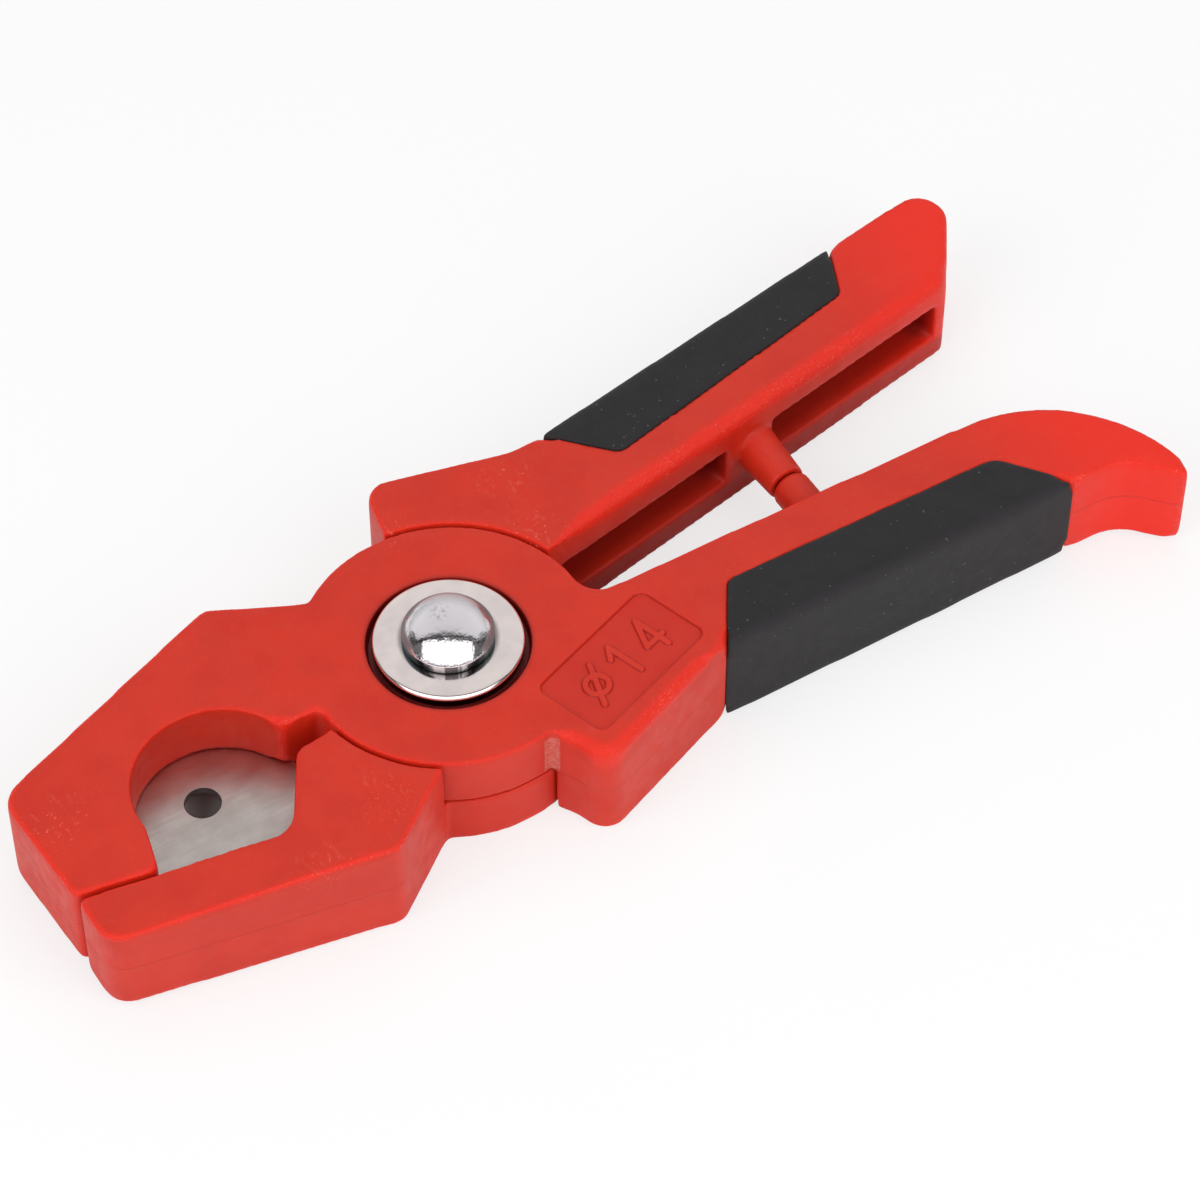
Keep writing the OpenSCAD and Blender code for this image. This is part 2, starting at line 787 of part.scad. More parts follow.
module bottom_washer() {
    color("lightgray") difference() {
        disc(washer_r, tail_h, sleeve_z);
        disc(rivet_r + fit_play, -over, thickness + over);
    }
}

// Centre line of the spring: a leg, the coil and the other leg
function spring_path() =
    let (steps = spring_turns * 360 / ring_turn,
         low = coil_low + wire_d / 2,
         a0 = leg_start_angle,
         a1 = leg_finish_angle,
         coil = [for (i = [0 : steps])
             let (a = a0 + ring_turn * i)
             [coil_r * cos(a), coil_r * sin(a), low + wire_pitch * spring_turns * i / steps]])
    concat([coil[0] + leg_length * [sin(a0), -cos(a0), 0]], coil,
        [coil[steps] + leg_length * [-sin(a1), cos(a1), 0]]);

// Ring of points round the wire, square to its path
function wire_ring(p, ahead) =
    let (t = unit(ahead), side = unit(cross(t, [0, 0, 1])), up = cross(side, t))
    [for (k = [0 : wire_sides - 1])
        p + wire_d / 2 * (side * cos(k * 360 / wire_sides) + up * sin(k * 360 / wire_sides))];

module opening_spring() {
    path = spring_path();
    n = len(path);
    points = [for (i = [0 : n - 1])
        each wire_ring(path[i], path[min(i + 1, n - 1)] - path[max(i - 1, 0)])];
    skin = [for (i = [0 : n - 2], k = [0 : wire_sides - 1])
        let (a = i * wire_sides + k, b = i * wire_sides + (k + 1) % wire_sides)
        each [[a, b, b + wire_sides], [a, b + wire_sides, a + wire_sides]]];
    first = [for (k = [1 : wire_sides - 2]) [0, k + 1, k]];
    last_ring = (n - 1) * wire_sides;
    last = [for (k = [1 : wire_sides - 2]) [last_ring, last_ring + k, last_ring + k + 1]];
    color("gray") polyhedron(points, concat(skin, first, last));
}

blade_lever();
anvil_lever();
blade_lever_grip();
anvil_lever_grip();
blade();
blade_screw_front();
blade_screw_rear();
pivot_rivet();
pivot_sleeve();
top_washer();
bottom_washer();
opening_spring();
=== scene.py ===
import math
from contextlib import contextmanager

import bmesh
import bpy
import numpy as np
from mathutils import Matrix, Vector
from mathutils.bvhtree import BVHTree


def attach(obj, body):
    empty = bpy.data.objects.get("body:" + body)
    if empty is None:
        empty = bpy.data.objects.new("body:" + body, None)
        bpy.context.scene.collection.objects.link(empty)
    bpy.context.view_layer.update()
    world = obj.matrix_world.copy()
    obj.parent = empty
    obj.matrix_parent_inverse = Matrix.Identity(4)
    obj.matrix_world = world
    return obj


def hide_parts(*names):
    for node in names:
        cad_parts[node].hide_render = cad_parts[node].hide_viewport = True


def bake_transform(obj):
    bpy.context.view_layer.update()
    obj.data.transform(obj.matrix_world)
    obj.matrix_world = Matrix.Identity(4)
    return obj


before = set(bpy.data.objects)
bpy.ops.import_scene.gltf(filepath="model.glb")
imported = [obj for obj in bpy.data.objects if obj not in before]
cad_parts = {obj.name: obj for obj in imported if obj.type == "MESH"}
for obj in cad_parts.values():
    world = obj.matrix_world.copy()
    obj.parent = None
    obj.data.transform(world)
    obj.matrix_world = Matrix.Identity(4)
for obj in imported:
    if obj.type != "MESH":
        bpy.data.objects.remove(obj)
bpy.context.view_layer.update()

# Lengths below are in millimetres, and MM turns them into metres
MM = 0.001

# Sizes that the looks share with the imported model
THICKNESS = 13.5
MID_Z = THICKNESS / 2
DISC_R = 16.2
RECESS_R = 8.8
RECESS_DEPTH = 0.6
MOUTH_CENTRE = (-29.6, -2.6)
MOUTH_R = 9.1
NEAR_ANGLE = math.radians(-1)
NEAR_INNER = -2.15
NEAR_OUTER = -15.3
FAR_ANGLE = math.radians(9.6)
FAR_INNER = 2.5
FAR_OUTER = 15.5
CHANNEL_TOP = 8.9
CHANNEL_Z = 6.25
# Angle and the distances of the inner and outer side of each handle that has a channel
CHANNELS = {"blade_lever": (NEAR_ANGLE, NEAR_INNER, NEAR_OUTER),
            "anvil_lever": (FAR_ANGLE, FAR_INNER, FAR_OUTER)}
PEG_X = 46
PEG_Y = 2.5
# Half the height of the zone between the outer faces in which the two laps meet
LAP_HALF = 5
# Upper edges of the label block that are rounded more than the rest
BLOCK_LEFT = (4.9, -18.5, 6.5, -22.4)
BLOCK_FRONT = (6.5, -22.4, 21, -16.7)
WASHER_R = 8.2
RIVET_R = 3
# Inner radius of what sits round the rivet's shank
BORE_R = RIVET_R + 0.03
SLEEVE_R = 4
TAIL_R = 4.5
TAIL_H = 0.9
SLEEVE_Z = 2
TOP_WASHER_Z = THICKNESS - RECESS_DEPTH
HEAD_Z = 14.4
HEAD_R = 5
BAND_H = 1.2
DOME_H = 3
HEAD_TOP = HEAD_Z + BAND_H + DOME_H

# The sunk label on the block, and the strokes of its signs as shares of a sign's width and height
LABEL_CORNER = (4.7, -10.2)
LABEL_SIZE = (17.4, 9.2)
LABEL_ANGLE = math.radians(18.7)
LABEL_DEPTH = 0.4
LABEL_ROUND = 1.2
MARK_RISE = 0.28
MARK_W = 0.75
MARK_H = LABEL_SIZE[1] * 0.5
SIGN_W = MARK_H * 0.55
RING_W = 2 * SIGN_W * 0.65
SIGN_GAP = SIGN_W * 0.62
RING_STROKES = [(0.05, 0, 1.25, 1)]
ONE_STROKES = [(0.55, 0, 0.55, 1), (0.1, 0.72, 0.55, 1)]
FOUR_STROKES = [(0.75, 0, 0.75, 1), (0, 0.3, 1, 0.3), (0, 0.3, 0.75, 1)]

# Points of a CAD mesh that are closer than this are one
WELD = 0.001
# Widths of the voxels that the levers, the grips and the screws are rebuilt from
VOXEL = 0.25
GRIP_VOXEL = 0.2
SCREW_VOXEL = 0.09
# Rounds of the smoothing that rounds their edges
ROUNDS = 72
# A sharp edge smoothed over a spread of s ends up with a radius of about this many s
RADIUS_PER_SPREAD = 1.37
SHARE_LIMIT = 0.95
# A square edge rounded to this radius counts as a full edge in the materials
FULL_EDGE = 1.0
# Edge radii: of the levers in general, at the mouth, round the disc, round the washer's recess,
# where the two laps meet, and where the peg stands on its handle
LEVER_EDGE = 0.8
MOUTH_EDGE = 0.5
DISC_EDGE = 0.65
RECESS_EDGE = 0.25
LAP_EDGE = 0.3
PEG_EDGE = 0.3
# Round a grip's seat, and along a handle's long outer edges
SEAT_EDGE = 0.15
OUTER_EDGE = 1.2
# On the blade lever: the top of the block, and the upright edges behind the mouth, at the jaw's
# root and at the tail's tip, each with its place, its radius and how far round it that holds
BLOCK_EDGE = 1.7
UPRIGHT_EDGES = [((-20.8, -0.3), 1.4, 2), ((-16.2, -0.3), 1.2, 2), ((82.7, -22.3), 1.6, 2.6)]
# On the anvil lever: the two edges of its inner side, and the channel's mouth and bottom
INNER_EDGE = 2
INNER_LOW_EDGE = 0.4
CHANNEL_EDGE = 1.8
# On the grips, with what their outer edges have more, and on the screws
GRIP_EDGE = 0.35
GRIP_OUTER_MORE = 0.9
SCREW_EDGE = 0.15
# On the blade, and on the rivet's head and the two corners of its tail
BLADE_EDGE = 0.07
HEAD_EDGE = 0.12
TAIL_EDGES = (0.25, 0.1)
# Distances along a handle between which it leaves the disc
HANDLE_START = (18, 22)
# Distances between which an edge radius gives way to the rest. Out from the mouth and the recess:
RIM_REACH = (1, 1.6)
# Out from the disc:
DISC_REACH = (0.8, 1.5)
# Sideways from the middle of the peg, and down from the top face there:
PEG_REACH = (3, 3.6)
PEG_DEPTH = (1.5, 2.2)
# From the upper edges of the block, and down from the top face there:
BLOCK_REACH = (1.8, 2.4)
BLOCK_DEPTH = (2.4, 3)
# From a grip, and how far its distance is measured at all:
SEAT_REACH = (0.7, 1.4)
SEAT_LIMIT = 1.5
# At a handle's long outer edges, out from its side and away from the middle of its thickness:
OUTER_SIDE = (-1.9, -1.3)
OUTER_HEIGHT = (4, 4.6)
# How dark the flange below a channel is, as a share of the channel's own shade
FLANGE_SHADE = 0.65
# Widths over which the recess and the label fall from the top face, and the cuts that the faces
# along these walls get
WALL = 0.35
LABEL_WALL = 0.25
WALL_CUTS = 3
# Depth of the dark ring that shows round the washer, and how far in under the washer it goes
RING_DEPTH = 1.1
RING_INNER = WASHER_R - 0.5
# Turned pieces: steps round the axis and in the dome, the turn that each step of a rounded corner
# takes, and the radius that counts as the axis
LATHE_STEPS = 160
DOME_STEPS = 40
CORNER_TURN = math.radians(8)
ON_AXIS = 1e-6
# Faces of the flat pieces that turn by less than this are one face, and edges that turn by more are
# broken
SAME_FACE = math.radians(1)
BROKEN_EDGE = math.radians(40)
# Edges that turn by more than this are shaded sharp
TURNED_SHARP = math.radians(50)
FLAT_SHARP = math.radians(20)
WIRE_SHARP = math.radians(60)


def link(obj):
    bpy.context.scene.collection.objects.link(obj)
    return obj


@contextmanager
def editing(mesh):
    """A mesh's faces and edges to work on, written back to it at the end"""
    work = bmesh.new()
    work.from_mesh(mesh)
    yield work
    work.to_mesh(mesh)
    work.free()


def node_mesh(node):
    """A welded copy of a CAD node's mesh, in millimetres"""
    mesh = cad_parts[node].data.copy()
    mesh.materials.clear()
    mesh.transform(Matrix.Scale(1 / MM, 4))
    with editing(mesh) as work:
        bmesh.ops.remove_doubles(work, verts=work.verts, dist=WELD)
    return mesh


def shade(mesh, sharp=None):
    """Smooth shading, broken at edges that turn by more than the sharp angle"""
    mesh.polygons.foreach_set("use_smooth", [True] * len(mesh.polygons))
    if sharp:
        mesh.set_sharp_from_angle(angle=sharp)


def evaluated(obj):
    """The mesh of an object with its modifiers applied"""
    bpy.context.view_layer.update()
    ready = obj.evaluated_get(bpy.context.evaluated_depsgraph_get())
    return bpy.data.meshes.new_from_object(ready)


def rebuilt(mesh, voxel):
    """Even quads over the whole of a closed mesh"""
    temp = link(bpy.data.objects.new("temp", mesh))
    remesh = temp.modifiers.new("voxels", "REMESH")
    remesh.mode = "VOXEL"
    remesh.voxel_size = voxel
    result = evaluated(temp)
    bpy.data.objects.remove(temp)
    return result


def points_of(mesh, layer="co"):
    """The places of a mesh's points, or another layer of three numbers to a point"""
    points = np.empty(len(mesh.vertices) * 3)
    mesh.vertices.foreach_get(layer, points)
    return points.reshape(-1, 3)


def put_points(mesh, points):
    mesh.vertices.foreach_set("co", points.ravel())
    mesh.update()


def ramp(value, start, finish):
    """0 up to start, 1 from finish on, straight between"""
    return np.clip((value - start) / (finish - start), 0, 1)


def close_by(distance, near, far):
    """1 up to near, 0 from far on, straight between"""
    return ramp(-distance, -far, -near)


def smooth(value, start, finish):
    """0 up to start, 1 from finish on, with soft ends"""
    share = ramp(value, start, finish)
    return share * share * (3 - 2 * share)


def toward(values, goal, share):
    """Moves the values to a goal by a share of the way"""
    values += (goal - values) * share


def turned_frame(points, angle, origin=(0, 0)):
    """x and y of the points in a frame turned by an angle"""
    x, y = points[:, 0] - origin[0], points[:, 1] - origin[1]
    return x * math.cos(angle) + y * math.sin(angle), y * math.cos(angle) - x * math.sin(angle)


def line_distance(u, v, stroke):
    """Distance of the points from a straight stroke"""
    start, run = np.array(stroke[:2]), np.subtract(stroke[2:], stroke[:2])
    along = np.clip(((u - start[0]) * run[0] + (v - start[1]) * run[1]) / (run @ run), 0, 1)
    return np.hypot(u - start[0] - along * run[0], v - start[1] - along * run[1])


def rounded(mesh, radius, voxel):
    """Rounds the edges of evenly rebuilt quads: radius gives each point's own edge radius.
    The point attribute edge keeps how far the rounding moved each point, below zero in a hollow,
    and the materials paint highlights on rims and shade in hollows from it."""
    points = points_of(mesh)
    before = points.copy()
    ends = np.empty(len(mesh.edges) * 2, dtype=np.int32)
    mesh.edges.foreach_get("vertices", ends)
    ends = ends.reshape(-1, 2)
    source = np.concatenate([ends[:, 0], ends[:, 1]])
    target = np.concatenate([ends[:, 1], ends[:, 0]])
    count = np.bincount(source, minlength=len(points))[:, None]
    spread = radius(points) / RADIUS_PER_SPREAD / voxel
    share = np.clip(2 * spread ** 2 / ROUNDS, 0, SHARE_LIMIT)[:, None]
    for _ in range(ROUNDS):
        total = np.stack([np.bincount(source, points[target, k], len(points)) for k in range(3)], 1)
        points += share * (total / count - points)
    put_points(mesh, points)
    worn = ((before - points) * points_of(mesh, "normal")).sum(1)
    edge = mesh.attributes.new("edge", "FLOAT", "POINT")
    edge.data.foreach_set("value", np.clip(worn / (FULL_EDGE * (math.sqrt(2) - 1)), -1, 1))
    return mesh


def label_frame(points):
    """The points' places across the label, from its lower left corner"""
    u, v = turned_frame(points, LABEL_ANGLE, LABEL_CORNER)
    return u, v + LABEL_SIZE[1]


def label_outline(points):
    """Distance from the label's outline, below zero inside it"""
    u, v = label_frame(points)
    across = np.abs(u - LABEL_SIZE[0] / 2) - LABEL_SIZE[0] / 2 + LABEL_ROUND
    up = np.abs(v - LABEL_SIZE[1] / 2) - LABEL_SIZE[1] / 2 + LABEL_ROUND
    corner = np.hypot(np.maximum(across, 0), np.maximum(up, 0))
    return corner + np.minimum(np.maximum(across, up), 0) - LABEL_ROUND


def sign_distance(points):
    """Distance from the middle lines of the diameter sign and the number"""
    u, v = label_frame(points)
    u = u - (LABEL_SIZE[0] - RING_W - 2 * SIGN_W - 2 * SIGN_GAP) / 2
    v = v - (LABEL_SIZE[1] - MARK_H) / 2
    nearest = np.abs(np.hypot(u - RING_W / 2, v - MARK_H / 2) - RING_W / 2 + MARK_W / 2)
    signs = [(0, RING_STROKES), (RING_W + SIGN_GAP, ONE_STROKES),
             (RING_W + SIGN_W + 2 * SIGN_GAP, FOUR_STROKES)]
    for start, strokes in signs:
        for stroke in strokes:
            line = np.array(stroke) * (SIGN_W, MARK_H, SIGN_W, MARK_H)
            nearest = np.minimum(nearest, line_distance(u - start, v, line))
    return nearest


def recess_outline(points):
    """Distance from the outline of the washer's recess, below zero inside it"""
    return np.hypot(points[:, 0], points[:, 1]) - RECESS_R


def filled_top(mesh):
    """Brings the floors of the label and of the washer's recess up to the top face"""
    points = points_of(mesh)
    label = (label_outline(points) < VOXEL) & (points[:, 2] > THICKNESS - LABEL_DEPTH - WALL)
    recess = (recess_outline(points) < VOXEL) & (points[:, 2] > THICKNESS - RECESS_DEPTH - WALL)
    points[label | recess, 2] = THICKNESS
    put_points(mesh, points)
    return mesh


def sink_top(mesh):
    """Sinks the label and the washer's recess into the top face, with fine faces at their rims"""
    centres = np.empty(len(mesh.polygons) * 3)
    mesh.polygons.foreach_get("center", centres)
    centres = centres.reshape(-1, 3)
    near_label = label_outline(centres) < 2 * VOXEL
    rim = recess_outline(centres)
    near_recess = (rim < 2 * VOXEL) & (rim > RING_INNER - RECESS_R - VOXEL)
    fine = (near_label | near_recess) & (centres[:, 2] > THICKNESS - VOXEL)
    with editing(mesh) as work:
        work.faces.ensure_lookup_table()
        edges = {edge for index in np.flatnonzero(fine) for edge in work.faces[index].edges}
        bmesh.ops.subdivide_edges(work, edges=sorted(edges, key=lambda edge: edge.index),
                                  cuts=WALL_CUTS, use_grid_fill=True)
    points = points_of(mesh)
    label = smooth(-label_outline(points), -LABEL_WALL / 2, LABEL_WALL / 2)
    sign = smooth(MARK_W / 2 - sign_distance(points), -LABEL_WALL / 2, LABEL_WALL / 2)
    recess = smooth(-recess_outline(points), -WALL / 2, WALL / 2)
    ring = smooth(RECESS_R + recess_outline(points), RING_INNER, RING_INNER + WALL)
    sunk = label * (LABEL_DEPTH - MARK_RISE * sign)
    sunk = sunk + recess * (RECESS_DEPTH + (RING_DEPTH - RECESS_DEPTH) * ring)
    sunk[points[:, 2] < THICKNESS - 2 * VOXEL] = 0
    points[:, 2] -= sunk
    put_points(mesh, points)
    mesh.attributes.new("sunk", "FLOAT", "POINT").data.foreach_set("value", sunk)
    return mesh


def distance_to(node, points, limit):
    """Distance of each point to a CAD node's surface, up to a limit"""
    mesh = node_mesh(node)
    tree = BVHTree.FromPolygons([v.co for v in mesh.vertices], [p.vertices for p in mesh.polygons])
    low, high = points_of(mesh).min(0) - limit, points_of(mesh).max(0) + limit
    result = np.full(len(points), float(limit))
    for index in np.flatnonzero(((points > low) & (points < high)).all(1)):
        distance = tree.find_nearest(points[index], limit)[3]
        if distance is not None:
            result[index] = distance
    return result


def beyond(size, reach):
    """The near and the far distance of a reach, counted from a size on"""
    return size + reach[0], size + reach[1]


def below_top(depths):
    """The two heights, the lower first, that lie so deep below the top face"""
    return THICKNESS - depths[1], THICKNESS - depths[0]


def lever_radius(points):
    """Edge radii that both levers share"""
    centre = np.hypot(points[:, 0], points[:, 1])
    mouth = np.hypot(points[:, 0] - MOUTH_CENTRE[0], points[:, 1] - MOUTH_CENTRE[1])
    radius = np.full(len(points), LEVER_EDGE)
    toward(radius, MOUTH_EDGE, close_by(mouth, *beyond(MOUTH_R, RIM_REACH)))
    toward(radius, DISC_EDGE, close_by(centre, *beyond(DISC_R, DISC_REACH)))
    toward(radius, RECESS_EDGE, close_by(centre, *beyond(RECESS_R, RIM_REACH)))
    radius[(centre < DISC_R + 1) & (np.abs(points[:, 2] - MID_Z) < LAP_HALF)] = LAP_EDGE
    peg = close_by(np.abs(points[:, 0] - PEG_X), *PEG_REACH)
    peg = peg * close_by(np.abs(points[:, 1] - PEG_Y), *PEG_REACH)
    toward(radius, PEG_EDGE, peg * close_by(points[:, 2], *below_top(PEG_DEPTH)))
    return radius


def outer_edges(points, outside):
    """1 along the two long outer edges of a handle, given each point's distance out of its side"""
    return ramp(outside, *OUTER_SIDE) * ramp(np.abs(points[:, 2] - MID_Z), *OUTER_HEIGHT)


def grip_seat(radius, points, grip, outside):
    """Keeps the rim of a grip's seat sharp, except on the handle's outer edges"""
    near = 1 - ramp(distance_to(grip, points, SEAT_LIMIT), *SEAT_REACH)
    along = outer_edges(points, outside)
    toward(radius, SEAT_EDGE, near * (1 - along))
    toward(radius, OUTER_EDGE, near * along)


def spot(points, x, y, reach):
    """1 round an upright edge at x and y"""
    return 1 - ramp(np.hypot(points[:, 0] - x, points[:, 1] - y), reach * 0.7, reach)


def blade_lever_radius(points):
    """Edge radii of the lever with the curved handle, the block and the mouth"""
    radius = lever_radius(points)
    u, v = turned_frame(points, NEAR_ANGLE)
    grip_seat(radius, points, "blade_lever_grip", NEAR_OUTER - v)
    top = ramp(points[:, 2], *below_top(BLOCK_DEPTH))
    block = close_by(line_distance(u, v, BLOCK_LEFT), *BLOCK_REACH)
    block = np.maximum(block, close_by(line_distance(u, v, BLOCK_FRONT), *BLOCK_REACH))
    toward(radius, BLOCK_EDGE, block * top)
    for place, edge, reach in UPRIGHT_EDGES:
        toward(radius, edge, spot(points, *place, reach))
    return radius


def anvil_lever_radius(points):
    """Edge radii of the lever with the straight handle: the upper and the lower edge of its inner
    side, and the channel's mouth and bottom, have their own"""
    radius = lever_radius(points)
    u, v = turned_frame(points, FAR_ANGLE)
    grip_seat(radius, points, "anvil_lever_grip", v - FAR_OUTER)
    handle = ramp(u, *HANDLE_START)
    inner = handle * close_by(v, FAR_INNER + 2.4, FAR_INNER + 3)
    toward(radius, INNER_EDGE, inner * ramp(points[:, 2], CHANNEL_TOP + 1, CHANNEL_TOP + 1.6))
    low = close_by(points[:, 2], CHANNEL_TOP, CHANNEL_TOP + 0.6)
    toward(radius, INNER_LOW_EDGE, inner * low * close_by(v, FAR_INNER + 0.8, FAR_INNER + 1.2))
    deep = handle * ramp(v, FAR_INNER + 1.2, FAR_INNER + 1.8)
    deep = deep * close_by(v, FAR_OUTER - 3, FAR_OUTER - 2)
    toward(radius, CHANNEL_EDGE, deep * close_by(np.abs(points[:, 2] - CHANNEL_Z), 2.9, 3.2))
    return radius


def grip_radius(outside):
    """Edge radii of a grip: generous along the handle's outer edges, small elsewhere"""
    def radius(points):
        return GRIP_EDGE + GRIP_OUTER_MORE * outer_edges(points, outside(points))
    return radius


def screw_radius(points):
    return np.full(len(points), SCREW_EDGE)


def near_outside(points):
    """Distance out of the curved handle's outer side"""
    return NEAR_OUTER - turned_frame(points, NEAR_ANGLE)[1]


def far_outside(points):
    """Distance out of the straight handle's outer side"""
    return turned_frame(points, FAR_ANGLE)[1] - FAR_OUTER


def in_channel(points, angle, inner, outer):
    """Painted shade for a handle's channel: 1 deep inside it and less on the flange below it, whose
    side stands in its own shade. inner and outer are the distances of the handle's sides from the
    pivot."""
    u, v = turned_frame(points, angle)
    side = np.sign(outer)
    depth = side * v - abs(inner)
    inside = smooth(depth, 0.2, 2.5) * (1 - smooth(np.abs(points[:, 2] - CHANNEL_Z), 2.4, 3.1))
    below = 1 - smooth(points[:, 2], CHANNEL_Z - 3.4, CHANNEL_Z - 2.4)
    below = (1 - smooth(depth, 0.5, 1.5)) * below
    handle = smooth(u, DISC_R - 1, DISC_R + 3) * smooth(depth, -1, -0.5)
    handle = handle * (1 - smooth(side * v, abs(outer) - 3, abs(outer) - 2))
    return handle * np.maximum(inside, FLANGE_SHADE * below)


def add_piece(node, ending, mesh, body, material):
    """A piece in millimetres becomes the object that stands for a CAD node. One with no body is
    attached to none."""
    mesh.transform(Matrix.Scale(MM, 4))
    mesh.materials.clear()
    mesh.materials.append(material)
    obj = link(bpy.data.objects.new(node + ending, mesh))
    if body:
        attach(obj, body)
    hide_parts(node)
    return obj


def moulding(node, body, radius, material, voxel=VOXEL, sunk=False):
    """A piece with rounded edges, rebuilt from its CAD node"""
    mesh = node_mesh(node)
    mesh = rounded(rebuilt(filled_top(mesh) if sunk else mesh, voxel), radius, voxel)
    if sunk:
        sink_top(mesh)
    # The channels' painted shade goes into the deep attribute
    if node in CHANNELS:
        deep = in_channel(points_of(mesh), *CHANNELS[node])
        mesh.attributes.new("deep", "FLOAT", "POINT").data.foreach_set("value", deep)
    shade(mesh)
    print(node, len(mesh.polygons), "faces")
    return add_piece(node, "_moulding", mesh, body, material)


def profile(rows):
    """Outline from rows of (radius, height, corner radius), with its corners rounded"""
    corners = [Vector(row[:2]) for row in rows]
    outline = []
    for index, row in enumerate(rows):
        corner = corners[index]
        if not row[2]:
            outline.append(corner)
            continue
        before = (corners[index - 1] - corner).normalized()
        after = (corners[(index + 1) % len(rows)] - corner).normalized()
        half = before.angle(after) / 2
        centre = corner + (before + after).normalized() * row[2] / math.sin(half)
        start = corner + before * row[2] / math.tan(half) - centre
        turn = start.angle_signed(corner + after * row[2] / math.tan(half) - centre)
        steps = max(4, round(abs(turn) / CORNER_TURN))
        for step in range(steps + 1):
            outline.append(centre + Matrix.Rotation(-turn * step / steps, 2) @ start)
    return outline


def turned(node, rows, material):
    """A piece turned on a lathe about the pivot axis. An outline that starts on the axis is closed
    there, and any other is a ring."""
    outline = profile(rows)
    is_ring = outline[0].x > ON_AXIS
    turns = [2 * math.pi * step / LATHE_STEPS for step in range(LATHE_STEPS)]
    mesh = bpy.data.meshes.new(node)
    with editing(mesh) as work:
        rings = []
        for radius, height in outline:
            if radius < ON_AXIS:
                rings.append([work.verts.new((0, 0, height))] * LATHE_STEPS)
                continue
            places = [(radius * math.cos(turn), radius * math.sin(turn), height) for turn in turns]
            rings.append([work.verts.new(place) for place in places])
        for index in range(len(rings) if is_ring else len(rings) - 1):
            low, high = rings[index], rings[(index + 1) % len(rings)]
            for step in range(LATHE_STEPS):
                after = (step + 1) % LATHE_STEPS
                quad = [low[step], low[after], high[after], high[step]]
                work.faces.new(list(dict.fromkeys(quad)))
        bmesh.ops.recalc_face_normals(work, faces=work.faces)
    shade(mesh, TURNED_SHARP)
    return add_piece(node, "_turned", mesh, "blade_side", material)


def ring_rows(outer, low, high, low_edge, top_edge):
    """Outline of a washer or sleeve round the rivet's shank, with its two outer corners rounded"""
    return [(BORE_R, low, 0), (outer, low, low_edge), (outer, high, top_edge), (BORE_R, high, 0)]


def rivet_rows():
    """Flush tail, shank, straight band and dome"""
    dome_r = (HEAD_R ** 2 + DOME_H ** 2) / (2 * DOME_H)
    spread = math.asin(HEAD_R / dome_r)
    turns = [spread * step / DOME_STEPS for step in range(DOME_STEPS - 1, -1, -1)]
    dome = [(dome_r * math.sin(turn), HEAD_TOP - dome_r * (1 - math.cos(turn)), 0)
            for turn in turns]
    tail = [(0, 0, 0), (TAIL_R, 0, TAIL_EDGES[0]), (TAIL_R, TAIL_H, TAIL_EDGES[1])]
    shank = [(RIVET_R, TAIL_H, 0), (RIVET_R, HEAD_Z, 0)]
    band = [(HEAD_R, HEAD_Z, HEAD_EDGE), (HEAD_R, HEAD_Z + BAND_H, HEAD_EDGE)]
    return tail + shank + band + dome


def flat_steel(node, material, edge):
    """A ground piece with its flat faces kept and its edges broken"""
    mesh = node_mesh(node)
    with editing(mesh) as work:
        bmesh.ops.dissolve_limit(work, angle_limit=SAME_FACE, verts=work.verts, edges=work.edges)
    temp = link(bpy.data.objects.new("temp", mesh))
    bevel = temp.modifiers.new("edges", "BEVEL")
    bevel.width = edge
    bevel.segments = 2
    bevel.angle_limit = BROKEN_EDGE
    result = evaluated(temp)
    bpy.data.objects.remove(temp)
    shade(result, FLAT_SHARP)
    return add_piece(node, "_steel", result, "blade_side", material)


def drawn_wire(node, material):
    """A torsion spring about the pivot, attached to neither lever"""
    mesh = node_mesh(node)
    shade(mesh, WIRE_SHARP)
    obj = add_piece(node, "_wire", mesh, None, material)
    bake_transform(obj)
    return obj


# Sockets of a Map Range node, in the order in which ranges are given here
RANGE_SOCKETS = ("From Min", "From Max", "To Min", "To Max")


class Wiring:
    """Short calls for the nodes of a tree, and for the links between them"""

    def __init__(self, tree):
        self.tree = tree

    def new(self, kind):
        return self.tree.nodes.new("ShaderNode" + kind)

    def feed(self, socket, value):
        """Links an output to a socket, or sets the socket to a value"""
        if isinstance(value, bpy.types.NodeSocket):
            self.tree.links.new(value, socket)
        else:
            socket.default_value = value

    def vector(self, operation, first, second=(0, 0, 0), scale=1, output=0):
        made = self.new("VectorMath")
        made.operation = operation
        self.feed(made.inputs[0], first)
        self.feed(made.inputs[1], second)
        if operation == "SCALE":
            self.feed(made.inputs["Scale"], scale)
        return made.outputs[output]

    def math(self, operation, first, second=0.0):
        made = self.new("Math")
        made.operation = operation
        self.feed(made.inputs[0], first)
        self.feed(made.inputs[1], second)
        return made.outputs[0]

    def both(self, first, second):
        """The product of two shares"""
        return self.math("MULTIPLY", first, second)

    def most(self, first, second):
        """The larger of two shares"""
        return self.math("MAXIMUM", first, second)

    def band(self, value, low, high, start=0.0, finish=1.0):
        """start at low and below, finish at high and above, smooth between"""
        made = self.new("MapRange")
        made.interpolation_type = "SMOOTHSTEP"
        self.feed(made.inputs["Value"], value)
        for socket, number in zip(RANGE_SOCKETS, (low, high, start, finish)):
            self.feed(made.inputs[socket], number)
        return made.outputs[0]

    def choice(self, share, first, second):
        """The first of two shaders at 0, and the second at 1"""
        made = self.new("MixShader")
        for socket, value in zip(made.inputs, (share, first, second)):
            self.feed(socket, value)
        return made.outputs[0]


